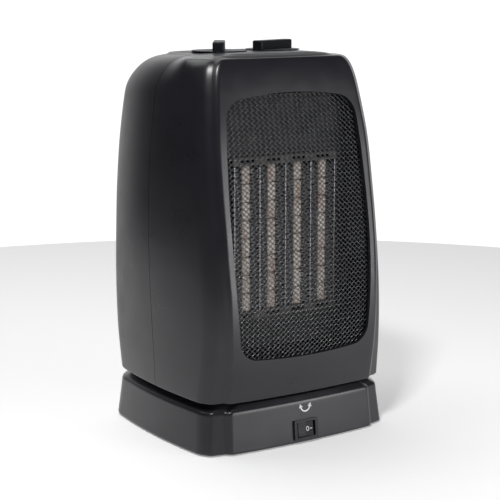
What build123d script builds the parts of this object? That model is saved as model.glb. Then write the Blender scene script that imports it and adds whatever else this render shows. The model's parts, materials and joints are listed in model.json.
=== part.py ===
# Oscillating ceramic tower heater, as separate pieces.
# Millimetres. Origin on the swivel axis at floor level. -Y is the front, +Z is up, X runs left to right.
from build123d import *
import math
import os

# ---------- driving dimensions ----------
tower_bottom = 38.0
tower_top = 284.0
wall = 2.5
seam_y = -2.0            # front and rear housings meet here, at the widest place
wall_top = 253.0         # the side walls end here and the rounded crown starts
crown_height = 28.0
crown_inset = 20.0
dome_steps = ((282.4, 27.0), (283.4, 34.0), (tower_top, 42.0))
base_foot = 1.2          # underside of the base shell, above the floor
base_edge = 31.0         # top outer edge of the base
deck_top = 36.0
deck_thickness = 3.0
floor_plate = 3.0
running = 0.05           # radial clearance of a shaft in its hole
apart = 0.3              # clearance between curved faces on different bodies
through = 80.0           # length of a cut that passes right through a wall

# tower: height, seam half-width, corner half-width, panel half-width, panel plane, back plane,
# rear corner half-width
tower_levels = [
    (tower_bottom, 82.8, 77.2, 64.0, -73.2, 76.0, 75.0),
    (70, 84.2, 75.4, 64.6, -77.5, 78.6, 76.3),
    (110, 86.1, 74.6, 65.4, -77.8, 80.6, 75.2),
    (150, 87.1, 74.4, 66.6, -74.0, 80.9, 73.3),
    (190, 86.3, 74.2, 66.6, -68.0, 80.4, 71.0),
    (225, 83.9, 73.0, 65.6, -62.5, 77.5, 69.4),
    (wall_top, 80.4, 69.9, 63.4, -57.0, 73.4, 67.6),
    (tower_top, 76.0, 66.0, 60.0, -50.0, 67.0, 64.0),
]
# base: the same columns
base_levels = [
    (base_foot, 85.4, 79.3, 63.6, -75.9, 79.0, 77.5),
    (base_edge, 82.6, 76.4, 62.4, -73.0, 76.2, 74.6),
]
base_slope_inset = 7.0
panel_bulge = 3.3        # the front panel bows forward by this much
rear_bulge = 2.0         # and the back bows outward by this much
rear_corner_radius = 22.0
room_corner_radius = 20.0
rear_corner_share = 0.3  # either radius is at most this share of the back plane's distance
crown_lean = 0.35        # the front plane moves back by this share of the crown's inset
step_room = 8.0          # least room between the panel edge and the corner, outside
room_step = 6.0          # and inside
step_out = (3.0, 3.6)    # from the panel edge out and back to the foot of its step
band_edge = (-1.5, 6.2)  # corner band edge, from the corner half-width and the panel plane
side_edge = (3.2, 14.0)  # start of the side wall, from the same two

# grille opening in the front housing
opening_bottom = 67.0
opening_top = 257.0
opening_half = 61.0
opening_half_end = 56.0
opening_corner = 11.0
opening_sill = 3.0       # rise of the sill and of the head between the middle and the corners
opening_head = 6.0
mesh_depth = 3.0         # mesh behind the panel's surface
mesh_thickness = 1.2
mesh_cell = (18.4, 14.4)
mesh_bar = 1.6
mesh_margin = 2.5
retainer_width = 3.0
retainer_thickness = 2.0

# housing screws and their bosses
boss_x = 66.0
boss_heights = (60.0, 232.0)
boss_radius = 4.5
screw_radius = 1.5
screw_head_radius = 3.0
screw_seat_y = 52.0
screw_tip_y = -22.0
screw_head_height = 2.4
recess_arm = (3.6, 0.8)
recess_depth = 1.2

# rear intake
louvre_rows = 14
louvre_pitch = 8.0
louvre_size = (42.0, 4.4)
louvre_rib = 6.0
louvre_centre = 160.0

# heating element
element_half = 45.0
element_bottom = 98.0
element_top = 205.0
element_front = -52.0
element_depth = 15.0
end_frame_height = 6.0
frame_vent = (12.0, 2.4)
frame_vent_pitch = 22.4
stone_rows = (-34.0, -11.6, 11.6, 34.0)
stone_size = (7.0, 12.0, 24.0)
stones_per_row = 4
stone_setback = 1.5
plate_rows = (-44.6, -22.7, 0.0, 22.7, 44.6)
plate_thickness = 0.8
fin_turn = 3.0
fin_foil = 0.45
fin_end_gap = 1.0
tab = (0.8, 5.0)         # flat terminal, in section
tab_length = 9.0
cutout_place = (-20.0, 17.0)     # X, and height above the element
cutout_radius = 8.0
cutout_depth = 6.0
fuse_place = (18.0, 12.0)
fuse_radius = 2.0
fuse_lead_radius = 0.5
baffle_y = -48.0
baffle_thickness = 1.4
baffle_half = 60.0

# fan and motor
fan_z = 150.0
fan_radius = 46.0
fan_hub_radius = 11.0
fan_depth = 16.0
fan_blades = 7
fan_pitch = 32.0
fan_blade = (24.0, 1.6)
fan_front_y = -8.0
fan_nose = 3.0           # thickness of the hub's closed front
tip_gap = 1.5
duct_wall = 1.5
duct_mid_y = -14.0
duct_end_y = 12.0
mount_thickness = 3.0
mount_arm = 7.0
mount_pad = (54.0, 22.0)
core_y = 26.0
core_depth = 16.0
core_size = (50.0, 66.0)
core_drop = 7.0          # the core's middle is this far below the fan axis
core_window = (30.0, 11.0)
window_drop = 25.0
coil_drop = 35.25
coil_length = 28.0
coil_height = 17.0
rotor_radius = 15.0
rotor_gap = 0.5
shaft_radius = 2.5
bush_radius = 5.0
strap_size = (50.0, 14.0)
strap_thickness = 2.5
pillar_x = 20.0

# top controls
panel_half = 45.6
panel_depth = 38.0
panel_corner = 12.0
panel_gap = 0.5
panel_ledge = 4.0
panel_seat = 280.6
knob_x = 24.0
knob_skirt_radius = 20.5
knob_grip = (41.0, 8.7)
knob_top = 291.5
selector_turn = 56.0     # grip directions, counter-clockwise from +X
thermostat_turn = 20.0
control_shaft_radius = 3.0
control_floor = 254.0
control_body_height = 16.0
control_neck_radius = 6.0
selector_body = (30.0, 30.0)
thermostat_body = (34.0, 28.0)
tip_switch_place = (46.0, 40.0)
tip_switch_size = (26.0, 14.0)

# rocker switch on the front of the base
rocker_z = 10.6
bezel_size = (21.0, 14.7)
bezel_thickness = 1.6
bezel_opening = (16.3, 11.3)
rocker_radius = 7.9
rocker_height = 10.7
rocker_pivot_depth = 3.5
rocker_throw = 16.0
rocker_flat = 0.6        # the pressed half of the button stands this far proud of the base
drum_cut = 0.25          # the drum is cut off this many radians below its pivot
rocker_body = (19.4, 13.0, 15.0)

# oscillation drive
crank_offset = 18.0
crank_throw = 10.3
crank_pin_radius = 1.9
crank_radius = 14.0
spigot_radius = 22.0
spigot_bore = 18.5
yoke_radius = 35.0
yoke_bottom = 28.0
yoke_thickness = 3.0
yoke_slot_width = 8.0
yoke_screw_count = 3
yoke_screw_radius = 1.2
yoke_screw_head_radius = 2.4
motor_radius = 24.5
motor_bottom = 6.2
motor_height = 13.8
motor_ear_x = 29.0
motor_ear = (66.0, 8.0)
motor_ear_thickness = 1.2
motor_post_radius = 4.0
crank_thickness = 3.5

# base details
glide_radii = (46.0, 30.0)
base_screw_places = [(x, y) for x in (-64, 64) for y in (-38, 40)]
base_post_radius = 4.0
foot_places = [(x, y) for x in (-62, 62) for y in (-54, 56)]
foot_radius = 7.0
foot_stem_radius = 2.5
gland_z = 15.0
gland_radius = 6.0
gland_flange_radius = 8.5
gland_bore_radius = 3.6
gland_y = (70.0, 78.8, 80.8)     # inner end, seat of the flange, outer end

boss_places = [(x, z) for x in (-boss_x, boss_x) for z in boss_heights]
motor_ear_places = [(x, -crank_offset) for x in (-motor_ear_x, motor_ear_x)]
yoke_screw_circle = (spigot_radius + spigot_bore) / 2
middle_z = (opening_bottom + opening_top) / 2
element_middle = (element_bottom + element_top) / 2

os.makedirs("parts", exist_ok=True)


def save(part, label):
    """Name a finished piece and write it."""
    part.label = label
    export_step(part, f"parts/{label}.step")


def level(levels, z):
    """Dimensions at height z, read between the two neighbouring levels."""
    low, high = levels[0], levels[1]
    for low, high in zip(levels, levels[1:]):
        if z <= high[0]:
            break
    share = (z - low[0]) / (high[0] - low[0])
    return [a + share * (b - a) for a, b in zip(low[1:], high[1:])]


def crown(z):
    """Inset of the rounded crown at height z: a quarter ellipse above the walls."""
    t = min(1.0, max(0.0, (z - wall_top) / crown_height))
    return crown_inset * (1 - math.sqrt(1 - t * t))


def shell_section(levels, z, inset=0.0):
    """Outer plan section, with the proud front panel and the stepped corner bands."""
    seam, corner, panel, front, back, rear = level(levels, z)
    seam, corner, back, rear = (v - inset for v in (seam, corner, back, rear))
    panel = min(panel - inset, corner - step_room)
    front += crown_lean * inset
    with BuildSketch(Plane.XY.offset(z)) as section:
        with BuildLine():
            bow = ThreePointArc((-panel, front), (0, front - panel_bulge), (panel, front))
            right = Polyline(bow @ 1, (panel + step_out[0], front + step_out[1]),
                             (corner + band_edge[0], front + band_edge[1]),
                             (corner + side_edge[0], front + side_edge[1]))
            side = ThreePointArc(right @ 1, (seam, seam_y), (rear, back - rear_bulge))
            rear_bow = ThreePointArc(side @ 1, (0, back), (-rear, back - rear_bulge))
            left_side = ThreePointArc(rear_bow @ 1, (-seam, seam_y),
                                      (-corner - side_edge[0], front + side_edge[1]))
            Polyline(left_side @ 1, (-corner - band_edge[0], front + band_edge[1]),
                     (-panel - step_out[0], front + step_out[1]), bow @ 0)
        make_face()
        rear_corners = section.vertices().group_by(Axis.Y)[-1]
        fillet(rear_corners, min(rear_corner_radius, rear_corner_share * back))
    return section.sketch


def room_section(levels, z, inset=0.0):
    """Inner plan section, one wall inside the outer one."""
    seam, corner, panel, front, back, rear = level(levels, z)
    seam, corner, back, rear = (v - inset - wall for v in (seam, corner, back, rear))
    panel = min(panel - inset, corner - room_step)
    front += crown_lean * inset + wall
    side_y = front + side_edge[1]
    with BuildSketch(Plane.XY.offset(z)) as section:
        with BuildLine():
            bow = ThreePointArc((-panel, front), (0, front - panel_bulge), (panel, front))
            bevel = Line(bow @ 1, (corner, side_y))
            side = ThreePointArc(bevel @ 1, (seam, seam_y), (rear, back - rear_bulge))
            rear_line = Line(side @ 1, (-rear, back - rear_bulge))
            left_side = ThreePointArc(rear_line @ 1, (-seam, seam_y), (-corner, side_y))
            Line(left_side @ 1, bow @ 0)
        make_face()
        rear_corners = section.vertices().group_by(Axis.Y)[-1]
        fillet(rear_corners, min(room_corner_radius, rear_corner_share * back))
    return section.sketch


def sheet_section(z, depth, thickness):
    """A thin bowed strip behind the front panel at height z."""
    half, front = level(tower_levels, z)[2:4]
    front += depth + crown_lean * crown(z)
    with BuildSketch(Plane.XY.offset(z)) as section:
        with BuildLine():
            face = ThreePointArc((-half, front), (0, front - panel_bulge), (half, front))
            end = Line(face @ 1, (half, front + thickness))
            back = ThreePointArc(end @ 1, (0, front - panel_bulge + thickness),
                                 (-half, front + thickness))
            Line(back @ 1, face @ 0)
        make_face()
    return section.sketch


def curved_sheet(depth, thickness):
    """The strips at all heights joined into one curved sheet."""
    heights = [z for z in wall_heights if z < opening_top] + [opening_top + mesh_margin]
    with BuildPart() as sheet:
        loft(sections=[sheet_section(z, depth, thickness) for z in heights])
    return sheet.part


def opening_outline(grow):
    """The rounded grille opening in the front view, grown by a margin."""
    end_half = opening_half_end + grow
    low = opening_bottom - grow
    high = opening_top + grow
    sill_end = low + opening_sill
    head_end = high - opening_head
    with BuildSketch(Plane.XZ.offset(20)) as outline:
        with BuildLine():
            sill = ThreePointArc((-end_half, sill_end), (0, low), (end_half, sill_end))
            right = ThreePointArc(sill @ 1, (opening_half + grow, middle_z), (end_half, head_end))
            head = ThreePointArc(right @ 1, (0, high), (-end_half, head_end))
            ThreePointArc(head @ 1, (-opening_half - grow, middle_z), sill @ 0)
        make_face()
        fillet(outline.vertices(), opening_corner + grow)
    return outline.sketch


# ---------- tower housings ----------
wall_heights = [row[0] for row in tower_levels[:-1]]
crown_steps = 7
crown_turns = [math.pi / 2 * i / crown_steps for i in range(crown_steps + 1)]
crown_heights = [wall_top + crown_height * math.sin(turn) for turn in crown_turns]

with BuildPart() as tower_solid:
    loft(sections=[shell_section(tower_levels, z) for z in wall_heights])
    crown_sections = [shell_section(tower_levels, z, crown(z)) for z in crown_heights]
    crown_sections += [shell_section(tower_levels, z, inset) for z, inset in dome_steps]
    loft(sections=crown_sections, ruled=True)

with BuildPart() as tower_room:
    extrude(room_section(tower_levels, tower_bottom), amount=-1)
    loft(sections=[room_section(tower_levels, z) for z in wall_heights])
    crown_rooms = [room_section(tower_levels, z, crown(z + wall)) for z in crown_heights[:-2]]
    loft(sections=crown_rooms, ruled=True)

with BuildPart() as screw_bosses:
    with BuildSketch(Plane.XZ.offset(90)):
        with Locations(boss_places):
            Circle(boss_radius)
    extrude(amount=-180)

with BuildPart() as housing:
    add(tower_solid.part - tower_room.part)
    add(screw_bosses.part & tower_solid.part)
    extrude(opening_outline(0), amount=through, mode=Mode.SUBTRACT)
    with BuildSketch(Plane.XZ.offset(-screw_tip_y)):         # screw shank holes
        with Locations(boss_places):
            Circle(screw_radius)
    extrude(amount=-120, mode=Mode.SUBTRACT)
    with BuildSketch(Plane.XZ.offset(-screw_seat_y)):        # screw head recesses, open to the rear
        with Locations(boss_places):
            Circle(screw_head_radius + 0.2)
    extrude(amount=-60, mode=Mode.SUBTRACT)
    with BuildSketch(Plane.XY.offset(panel_seat)):           # seat of the control panel
        Rectangle(2 * (panel_half + panel_gap), 2 * (panel_depth + panel_gap))
        fillet(vertices(), panel_corner + panel_gap)
    extrude(amount=20, mode=Mode.SUBTRACT)
    with BuildSketch(Plane.XY.offset(wall_top)):             # opening below the panel for the switches
        Rectangle(2 * (panel_half - panel_ledge), 2 * (panel_depth - panel_ledge))
        fillet(vertices(), panel_corner - panel_ledge)
    extrude(amount=40, mode=Mode.SUBTRACT)

with BuildPart() as front_housing:
    add(split(housing.part, bisect_by=Plane.XZ.offset(-seam_y), keep=Keep.TOP, mode=Mode.PRIVATE))
save(front_housing.part, "front_housing")

with BuildPart() as rear_housing:
    add(split(housing.part, bisect_by=Plane.XZ.offset(-seam_y), keep=Keep.BOTTOM, mode=Mode.PRIVATE))
    with BuildSketch(Plane.XZ.offset(-60)):                  # intake louvres
        with Locations((0, louvre_centre)):
            with GridLocations(louvre_size[0] + louvre_rib, louvre_pitch, 2, louvre_rows):
                SlotOverall(*louvre_size)
    extrude(amount=-40, mode=Mode.SUBTRACT)
save(rear_housing.part, "rear_housing")

with BuildPart() as housing_screws:
    with BuildSketch(Plane.XZ.offset(-screw_tip_y - 2)):
        with Locations(boss_places):
            Circle(screw_radius)
    extrude(amount=-(screw_seat_y - screw_tip_y - 2))
    with BuildSketch(Plane.XZ.offset(-screw_seat_y)):
        with Locations(boss_places):
            Circle(screw_head_radius)
    extrude(amount=-screw_head_height)
    with BuildSketch(Plane.XZ.offset(-screw_seat_y - screw_head_height)):  # cross recess
        with Locations(boss_places):
            Rectangle(*recess_arm)
            Rectangle(*recess_arm[::-1])
    extrude(amount=recess_depth, mode=Mode.SUBTRACT)
save(housing_screws.part, "housing_screws")

with BuildPart() as top_panel:
    with BuildSketch(Plane.XY.offset(panel_seat)):
        Rectangle(2 * panel_half, 2 * panel_depth)
        fillet(vertices(), panel_corner)
    extrude(amount=10)
    add(tower_solid.part, mode=Mode.INTERSECT)
    with BuildSketch(Plane.XY.offset(panel_seat)):
        with Locations((-knob_x, 0), (knob_x, 0)):
            Circle(control_shaft_radius + running)
    extrude(amount=10, mode=Mode.SUBTRACT)
save(top_panel.part, "top_panel")

# ---------- tower floor, swivel and its drive yoke ----------
with BuildPart() as tower_floor:
    extrude(room_section(tower_levels, tower_bottom, 0.4), amount=floor_plate)
    with BuildSketch(Plane.XY.offset(yoke_bottom + yoke_thickness)):
        Circle(spigot_radius)
    extrude(until=Until.NEXT)
    with BuildSketch(Plane.XY.offset(yoke_bottom)):
        Circle(spigot_bore)
    extrude(amount=20, mode=Mode.SUBTRACT)
    with BuildSketch(Plane.XY.offset(yoke_bottom)):
        with PolarLocations(yoke_screw_circle, yoke_screw_count, start_angle=90):
            Circle(yoke_screw_radius)
    extrude(amount=9, mode=Mode.SUBTRACT)
save(tower_floor.part, "tower_floor")

with BuildPart() as drive_yoke:
    with BuildSketch(Plane.XY.offset(yoke_bottom)):
        Circle(yoke_radius)
        with Locations((0, -crank_offset - 1.5)):
            SlotOverall(crank_throw * 2 + 1, yoke_slot_width, rotation=90, mode=Mode.SUBTRACT)
        with Locations((0, 9)):
            Circle(6, mode=Mode.SUBTRACT)
        with PolarLocations(yoke_screw_circle, yoke_screw_count, start_angle=90):
            Circle(yoke_screw_radius, mode=Mode.SUBTRACT)
    extrude(amount=yoke_thickness)
save(drive_yoke.part, "drive_yoke")

with BuildPart() as yoke_screws:
    with BuildSketch(Plane.XY.offset(yoke_bottom)):
        with PolarLocations(yoke_screw_circle, yoke_screw_count, start_angle=90):
            Circle(yoke_screw_radius)
    extrude(amount=8)
    with BuildSketch(Plane.XY.offset(yoke_bottom)):
        with PolarLocations(yoke_screw_circle, yoke_screw_count, start_angle=90):
            Circle(yoke_screw_head_radius)
    extrude(amount=-1.6)
save(yoke_screws.part, "yoke_screws")

with BuildPart() as thrust_washer:
    with BuildSketch(Plane.XY.offset(yoke_bottom + yoke_thickness)):
        Circle(yoke_radius - 2)
        Circle(spigot_radius + 0.2, mode=Mode.SUBTRACT)
    extrude(amount=deck_top - deck_thickness - yoke_bottom - yoke_thickness - 0.2)
save(thrust_washer.part, "thrust_washer")

# ---------- grille ----------
bar_angle = math.degrees(math.atan2(mesh_cell[1], mesh_cell[0]))
bar_reach = 10
bar_length = 300
with BuildSketch(Plane.XZ.offset(20)) as lattice:
    with Locations([(i * mesh_cell[0], middle_z) for i in range(-bar_reach, bar_reach + 1)]):
        Rectangle(bar_length, mesh_bar, rotation=bar_angle)
        Rectangle(bar_length, mesh_bar, rotation=-bar_angle)
    add(opening_outline(mesh_margin), mode=Mode.INTERSECT)
    add(opening_outline(mesh_margin) - opening_outline(1))
with BuildPart() as grille_mesh:
    extrude(lattice.sketch, amount=through)
    add(curved_sheet(mesh_depth, mesh_thickness), mode=Mode.INTERSECT)
save(grille_mesh.part, "grille_mesh")

with BuildPart() as grille_retainer:
    rim = opening_outline(mesh_margin) - opening_outline(mesh_margin - retainer_width)
    extrude(rim, amount=through)
    add(curved_sheet(mesh_depth + mesh_thickness, retainer_thickness), mode=Mode.INTERSECT)
save(grille_retainer.part, "grille_retainer")

# ---------- heating element ----------
element_back = element_front + element_depth
with BuildPart() as baffle_plate:
    with BuildSketch(Plane.XZ.offset(-baffle_y)):
        with Locations((0, middle_z)):
            RectangleRounded(2 * baffle_half, opening_top - opening_bottom - 4, opening_corner)
        with Locations((0, element_middle)):
            Rectangle(2 * element_half + 2, element_top - element_bottom + 2 * end_frame_height,
                      mode=Mode.SUBTRACT)
    extrude(amount=-baffle_thickness)
save(baffle_plate.part, "baffle_plate")

for name, floor_z in (("element_bottom_frame", element_bottom - end_frame_height),
                      ("element_top_frame", element_top)):
    with BuildPart() as end_frame:
        with BuildSketch(Plane.XZ.offset(-element_front)):
            with Locations((0, floor_z + end_frame_height / 2)):
                Rectangle(2 * element_half + 2, end_frame_height)
                with GridLocations(frame_vent_pitch, 1, 4, 1):
                    Rectangle(*frame_vent, mode=Mode.SUBTRACT)
        extrude(amount=-element_depth)
    save(end_frame.part, name)

with BuildPart() as ceramic_stones:
    pitch = (element_top - element_bottom) / stones_per_row
    with BuildSketch(Plane.XZ.offset(-element_front - stone_setback)):
        for row in range(stones_per_row):
            with Locations([(x, element_bottom + pitch * (row + 0.5)) for x in stone_rows]):
                Rectangle(stone_size[0], stone_size[2])
    extrude(amount=-stone_size[1])
    fillet(edges().filter_by(Axis.Y), 0.5)
save(ceramic_stones.part, "ceramic_stones")

with BuildPart() as electrode_plates:
    with BuildSketch(Plane.XZ.offset(-element_front)):
        with Locations([(x, element_middle) for x in plate_rows]):
            Rectangle(plate_thickness, element_top - element_bottom)
    extrude(amount=-element_depth)
save(electrode_plates.part, "electrode_plates")

plate_edges = [x + side * plate_thickness / 2 for x in plate_rows for side in (-1, 1)]
stone_edges = [x + side * stone_size[0] / 2 for x in stone_rows for side in (-1, 1)]
fin_edges = sorted(plate_edges + stone_edges)[1:-1]
fin_columns = list(zip(fin_edges[0::2], fin_edges[1::2]))
fin_count = int((element_top - element_bottom - 2 * fin_end_gap) / fin_turn)


def fin_outline(left, right):
    """Corner points of a foil folded to and fro between two walls."""
    notch = fin_foil * (right - left) / fin_turn
    right_chain, left_chain = [], []
    for i in range(2 * fin_count):
        z = element_bottom + fin_end_gap + i * fin_turn / 2
        if i % 2:
            right_chain += [(right, z), (right, z + fin_foil)]
            left_chain.append((right - notch, z + fin_foil / 2))
        else:
            left_chain += [(left, z), (left, z + fin_foil)]
            right_chain.append((left + notch, z + fin_foil / 2))
    return right_chain + left_chain[::-1]


with BuildPart() as fin_strips:
    with BuildSketch(Plane.XZ.offset(-element_front - 0.5)):
        for left, right in fin_columns:
            with BuildLine():
                Polyline(fin_outline(left, right), close=True)
            make_face()
    extrude(amount=-(element_depth - 1))
save(fin_strips.part, "fin_strips")

with BuildPart() as element_terminals:
    with BuildSketch(Plane.XY.offset(element_bottom - end_frame_height - tab_length)):
        with Locations([(x, element_back - 5) for x in plate_rows[1:4]]):
            Rectangle(*tab[::-1])
    extrude(amount=tab_length)
save(element_terminals.part, "element_terminals")

with BuildPart() as thermal_cutout:
    cutout_z = element_top + end_frame_height + cutout_place[1]
    with BuildSketch(Plane.XZ.offset(-element_back - 3)):
        with Locations((cutout_place[0], cutout_z)):
            Circle(cutout_radius)
    extrude(amount=-cutout_depth)
    with BuildSketch(Plane.XZ.offset(-element_back - 3 - cutout_depth)):
        with Locations((cutout_place[0] - 6, cutout_z), (cutout_place[0] + 6, cutout_z)):
            Rectangle(*tab)
    extrude(amount=-7)
save(thermal_cutout.part, "thermal_cutout")

with BuildPart() as thermal_fuse:
    fuse_z = element_top + end_frame_height + fuse_place[1]
    for length, radius in ((12, fuse_radius), (24, fuse_lead_radius)):
        with BuildSketch(Plane.YZ.offset(fuse_place[0] - length / 2)):
            with Locations((element_back + 5, fuse_z)):
                Circle(radius)
        extrude(amount=length)
save(thermal_fuse.part, "thermal_fuse")

# ---------- air duct, fan and motor ----------
duct_height = element_top - element_bottom + 2 * end_frame_height
with BuildPart() as air_duct:
    with BuildSketch(Plane.XZ.offset(-element_back)):
        with Locations((0, element_middle)):
            Rectangle(2 * element_half + 2, duct_height)
            Rectangle(2 * (element_half - duct_wall) + 2, duct_height - 2 * duct_wall,
                      mode=Mode.SUBTRACT)
    extrude(amount=-(duct_mid_y - element_back))
    with BuildSketch(Plane.XZ.offset(-duct_mid_y)):
        with Locations((0, element_middle)):
            Rectangle(2 * element_half + 14, duct_height)
        with Locations((0, fan_z)):
            Circle(fan_radius + tip_gap, mode=Mode.SUBTRACT)
    extrude(amount=-duct_wall)
    with BuildSketch(Plane.XZ.offset(-duct_mid_y)):
        with Locations((0, fan_z)):
            Circle(fan_radius + tip_gap + duct_wall)
            Circle(fan_radius + tip_gap, mode=Mode.SUBTRACT)
    extrude(amount=-(duct_end_y - duct_mid_y))
save(air_duct.part, "air_duct")

with BuildPart() as impeller:
    with BuildSketch(Plane.XZ.offset(-fan_front_y)):
        with Locations((0, fan_z)):
            Circle(fan_hub_radius)
    extrude(amount=-fan_depth)
    fillet(edges().group_by(Axis.Y)[0], 2)
    for i in range(fan_blades):
        angle = 2 * math.pi * i / fan_blades
        radial = Vector(math.cos(angle), 0, math.sin(angle))
        tangent = Vector(-math.sin(angle), 0, math.cos(angle))
        root = Vector(0, fan_front_y + fan_depth / 2, fan_z) + radial * (fan_hub_radius - 1)
        with BuildSketch(Plane(origin=root, x_dir=tangent, z_dir=radial)):
            SlotOverall(*fan_blade, rotation=fan_pitch)
        extrude(amount=fan_radius - fan_hub_radius)
    with BuildSketch(Plane.XZ.offset(-fan_front_y - fan_nose)):
        with Locations((0, fan_z)):
            Circle(shaft_radius)
    extrude(amount=-fan_depth, mode=Mode.SUBTRACT)
save(impeller.part, "impeller")

strap_front_y = duct_end_y + mount_thickness
strap_back_y = core_y + core_depth + 5
shaft_length = strap_back_y + strap_thickness + 2 - fan_front_y - fan_nose
with BuildPart() as fan_shaft:
    with BuildSketch(Plane.XZ.offset(-fan_front_y - fan_nose)):
        with Locations((0, fan_z)):
            Circle(shaft_radius)
    extrude(amount=-shaft_length)
save(fan_shaft.part, "fan_shaft")

with BuildPart() as rotor_core:
    with BuildSketch(Plane.XZ.offset(-core_y)):
        with Locations((0, fan_z)):
            Circle(rotor_radius)
            Circle(shaft_radius, mode=Mode.SUBTRACT)
    extrude(amount=-core_depth)
save(rotor_core.part, "rotor_core")

with BuildPart() as motor_mount:
    with BuildSketch(Plane.XZ.offset(-duct_end_y)):
        with Locations((0, fan_z)):
            Circle(fan_radius + 5)
            Circle(fan_radius - 1, mode=Mode.SUBTRACT)
            Rectangle(2 * fan_radius, mount_arm)
            Rectangle(mount_arm, 2 * fan_radius)
            Rectangle(*mount_pad)
            Circle(bush_radius, mode=Mode.SUBTRACT)
    extrude(amount=-mount_thickness)
save(motor_mount.part, "motor_mount")

with BuildPart() as motor_core:
    with BuildSketch(Plane.XZ.offset(-core_y)):
        with Locations((0, fan_z - core_drop)):
            Rectangle(*core_size)
        with Locations((0, fan_z - window_drop)):
            Rectangle(*core_window, mode=Mode.SUBTRACT)
        with Locations((0, fan_z)):
            Circle(rotor_radius + rotor_gap, mode=Mode.SUBTRACT)
    extrude(amount=-core_depth)
save(motor_core.part, "motor_core")

with BuildPart() as motor_coil:
    with BuildSketch(Plane.YZ.offset(-coil_length / 2)):
        with Locations((core_y + core_depth / 2, fan_z - coil_drop)):
            RectangleRounded(core_depth + 8, coil_height, 3)
            Rectangle(core_depth, 9.5, mode=Mode.SUBTRACT)
    extrude(amount=coil_length)
save(motor_coil.part, "motor_coil")

with BuildPart() as motor_brackets:
    for strap_y in (strap_front_y, strap_back_y):
        with BuildSketch(Plane.XZ.offset(-strap_y)):
            with Locations((0, fan_z)):
                SlotOverall(*strap_size)
                Circle(bush_radius, mode=Mode.SUBTRACT)
        extrude(amount=-strap_thickness)
    pillar_spans = ((strap_front_y + strap_thickness, core_y), (core_y + core_depth, strap_back_y))
    for low_y, high_y in pillar_spans:
        with BuildSketch(Plane.XZ.offset(-low_y)):
            with Locations((-pillar_x, fan_z), (pillar_x, fan_z)):
                Circle(2.5)
        extrude(amount=-(high_y - low_y))
save(motor_brackets.part, "motor_brackets")

with BuildPart() as motor_bushes:
    bush_spans = ((duct_end_y, mount_thickness + strap_thickness), (strap_back_y, strap_thickness))
    for low_y, length in bush_spans:
        with BuildSketch(Plane.XZ.offset(-low_y)):
            with Locations((0, fan_z)):
                Circle(bush_radius)
                Circle(shaft_radius + running, mode=Mode.SUBTRACT)
        extrude(amount=-length)
save(motor_bushes.part, "motor_bushes")

# ---------- top controls ----------
controls = (("selector_switch", -knob_x, selector_body), ("thermostat", knob_x, thermostat_body))
for label, x, size in controls:
    with BuildPart() as control:
        with BuildSketch(Plane.XY.offset(control_floor)):
            with Locations((x, 0)):
                RectangleRounded(*size, 2)
        extrude(amount=control_body_height)
        with BuildSketch(Plane.XY.offset(control_floor + control_body_height)):
            with Locations((x, 0)):
                Circle(control_neck_radius)
        extrude(amount=panel_seat - control_floor - control_body_height)
        with BuildSketch(Plane.XY.offset(control_floor + 3)):
            with Locations((x, 0)):
                Circle(control_shaft_radius + running)
        extrude(amount=40, mode=Mode.SUBTRACT)
        with BuildSketch(Plane.XY.offset(control_floor)):
            with Locations((x - 9, 0), (x, 8), (x + 9, 0)):
                Rectangle(*tab[::-1])
        extrude(amount=-8)
    save(control.part, label)

for label, x, turn in (("selector", -knob_x, selector_turn), ("thermostat", knob_x, thermostat_turn)):
    with BuildPart() as control_shaft:
        with BuildSketch(Plane.XY.offset(control_floor + 3.5)):
            with Locations((x, 0)):
                Circle(control_shaft_radius)
        extrude(amount=knob_top - control_floor - 6)
    save(control_shaft.part, f"{label}_shaft")

    with BuildPart() as knob:
        with BuildSketch(Plane.XY.offset(tower_top + apart)):
            with Locations((x, 0)):
                Circle(knob_skirt_radius)
        extrude(amount=1.6)
        fillet(edges().group_by(Axis.Z)[-1], 1.2)
        with BuildSketch(Plane.XY.offset(tower_top + 1)):
            with Locations((x, 0)):
                Rectangle(*knob_grip, rotation=turn)
        extrude(amount=knob_top - tower_top - 1)
        fillet(edges().group_by(Axis.Z)[-1], 0.6)
        with BuildSketch(Plane.XY.offset(tower_top)):
            with Locations((x, 0)):
                Circle(control_shaft_radius)
        extrude(amount=knob_top - tower_top - 2.5, mode=Mode.SUBTRACT)
    save(knob.part, f"{label}_knob")

with BuildPart() as tip_over_switch:
    with BuildSketch(Plane.XY.offset(tower_bottom + floor_plate)):
        with Locations(tip_switch_place):
            RectangleRounded(*tip_switch_size, 2)
    extrude(amount=16)
    with BuildSketch(Plane.XY.offset(tower_bottom + floor_plate + 16)):
        with Locations([(tip_switch_place[0] + side * 6, tip_switch_place[1]) for side in (-1, 1)]):
            Rectangle(*tab)
    extrude(amount=7)
save(tip_over_switch.part, "tip_over_switch")

# ---------- base ----------
deck_bottom = deck_top - deck_thickness
base_front = level(base_levels, rocker_z)[3] - panel_bulge
base_lean = math.atan2(base_levels[1][4] - base_levels[0][4], base_edge - base_foot)
lean_cos, lean_sin = math.cos(base_lean), math.sin(base_lean)
rocker_plane = Plane(origin=(0, base_front, rocker_z),
                     x_dir=(1, 0, 0), z_dir=(0, -lean_cos, lean_sin))

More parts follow.
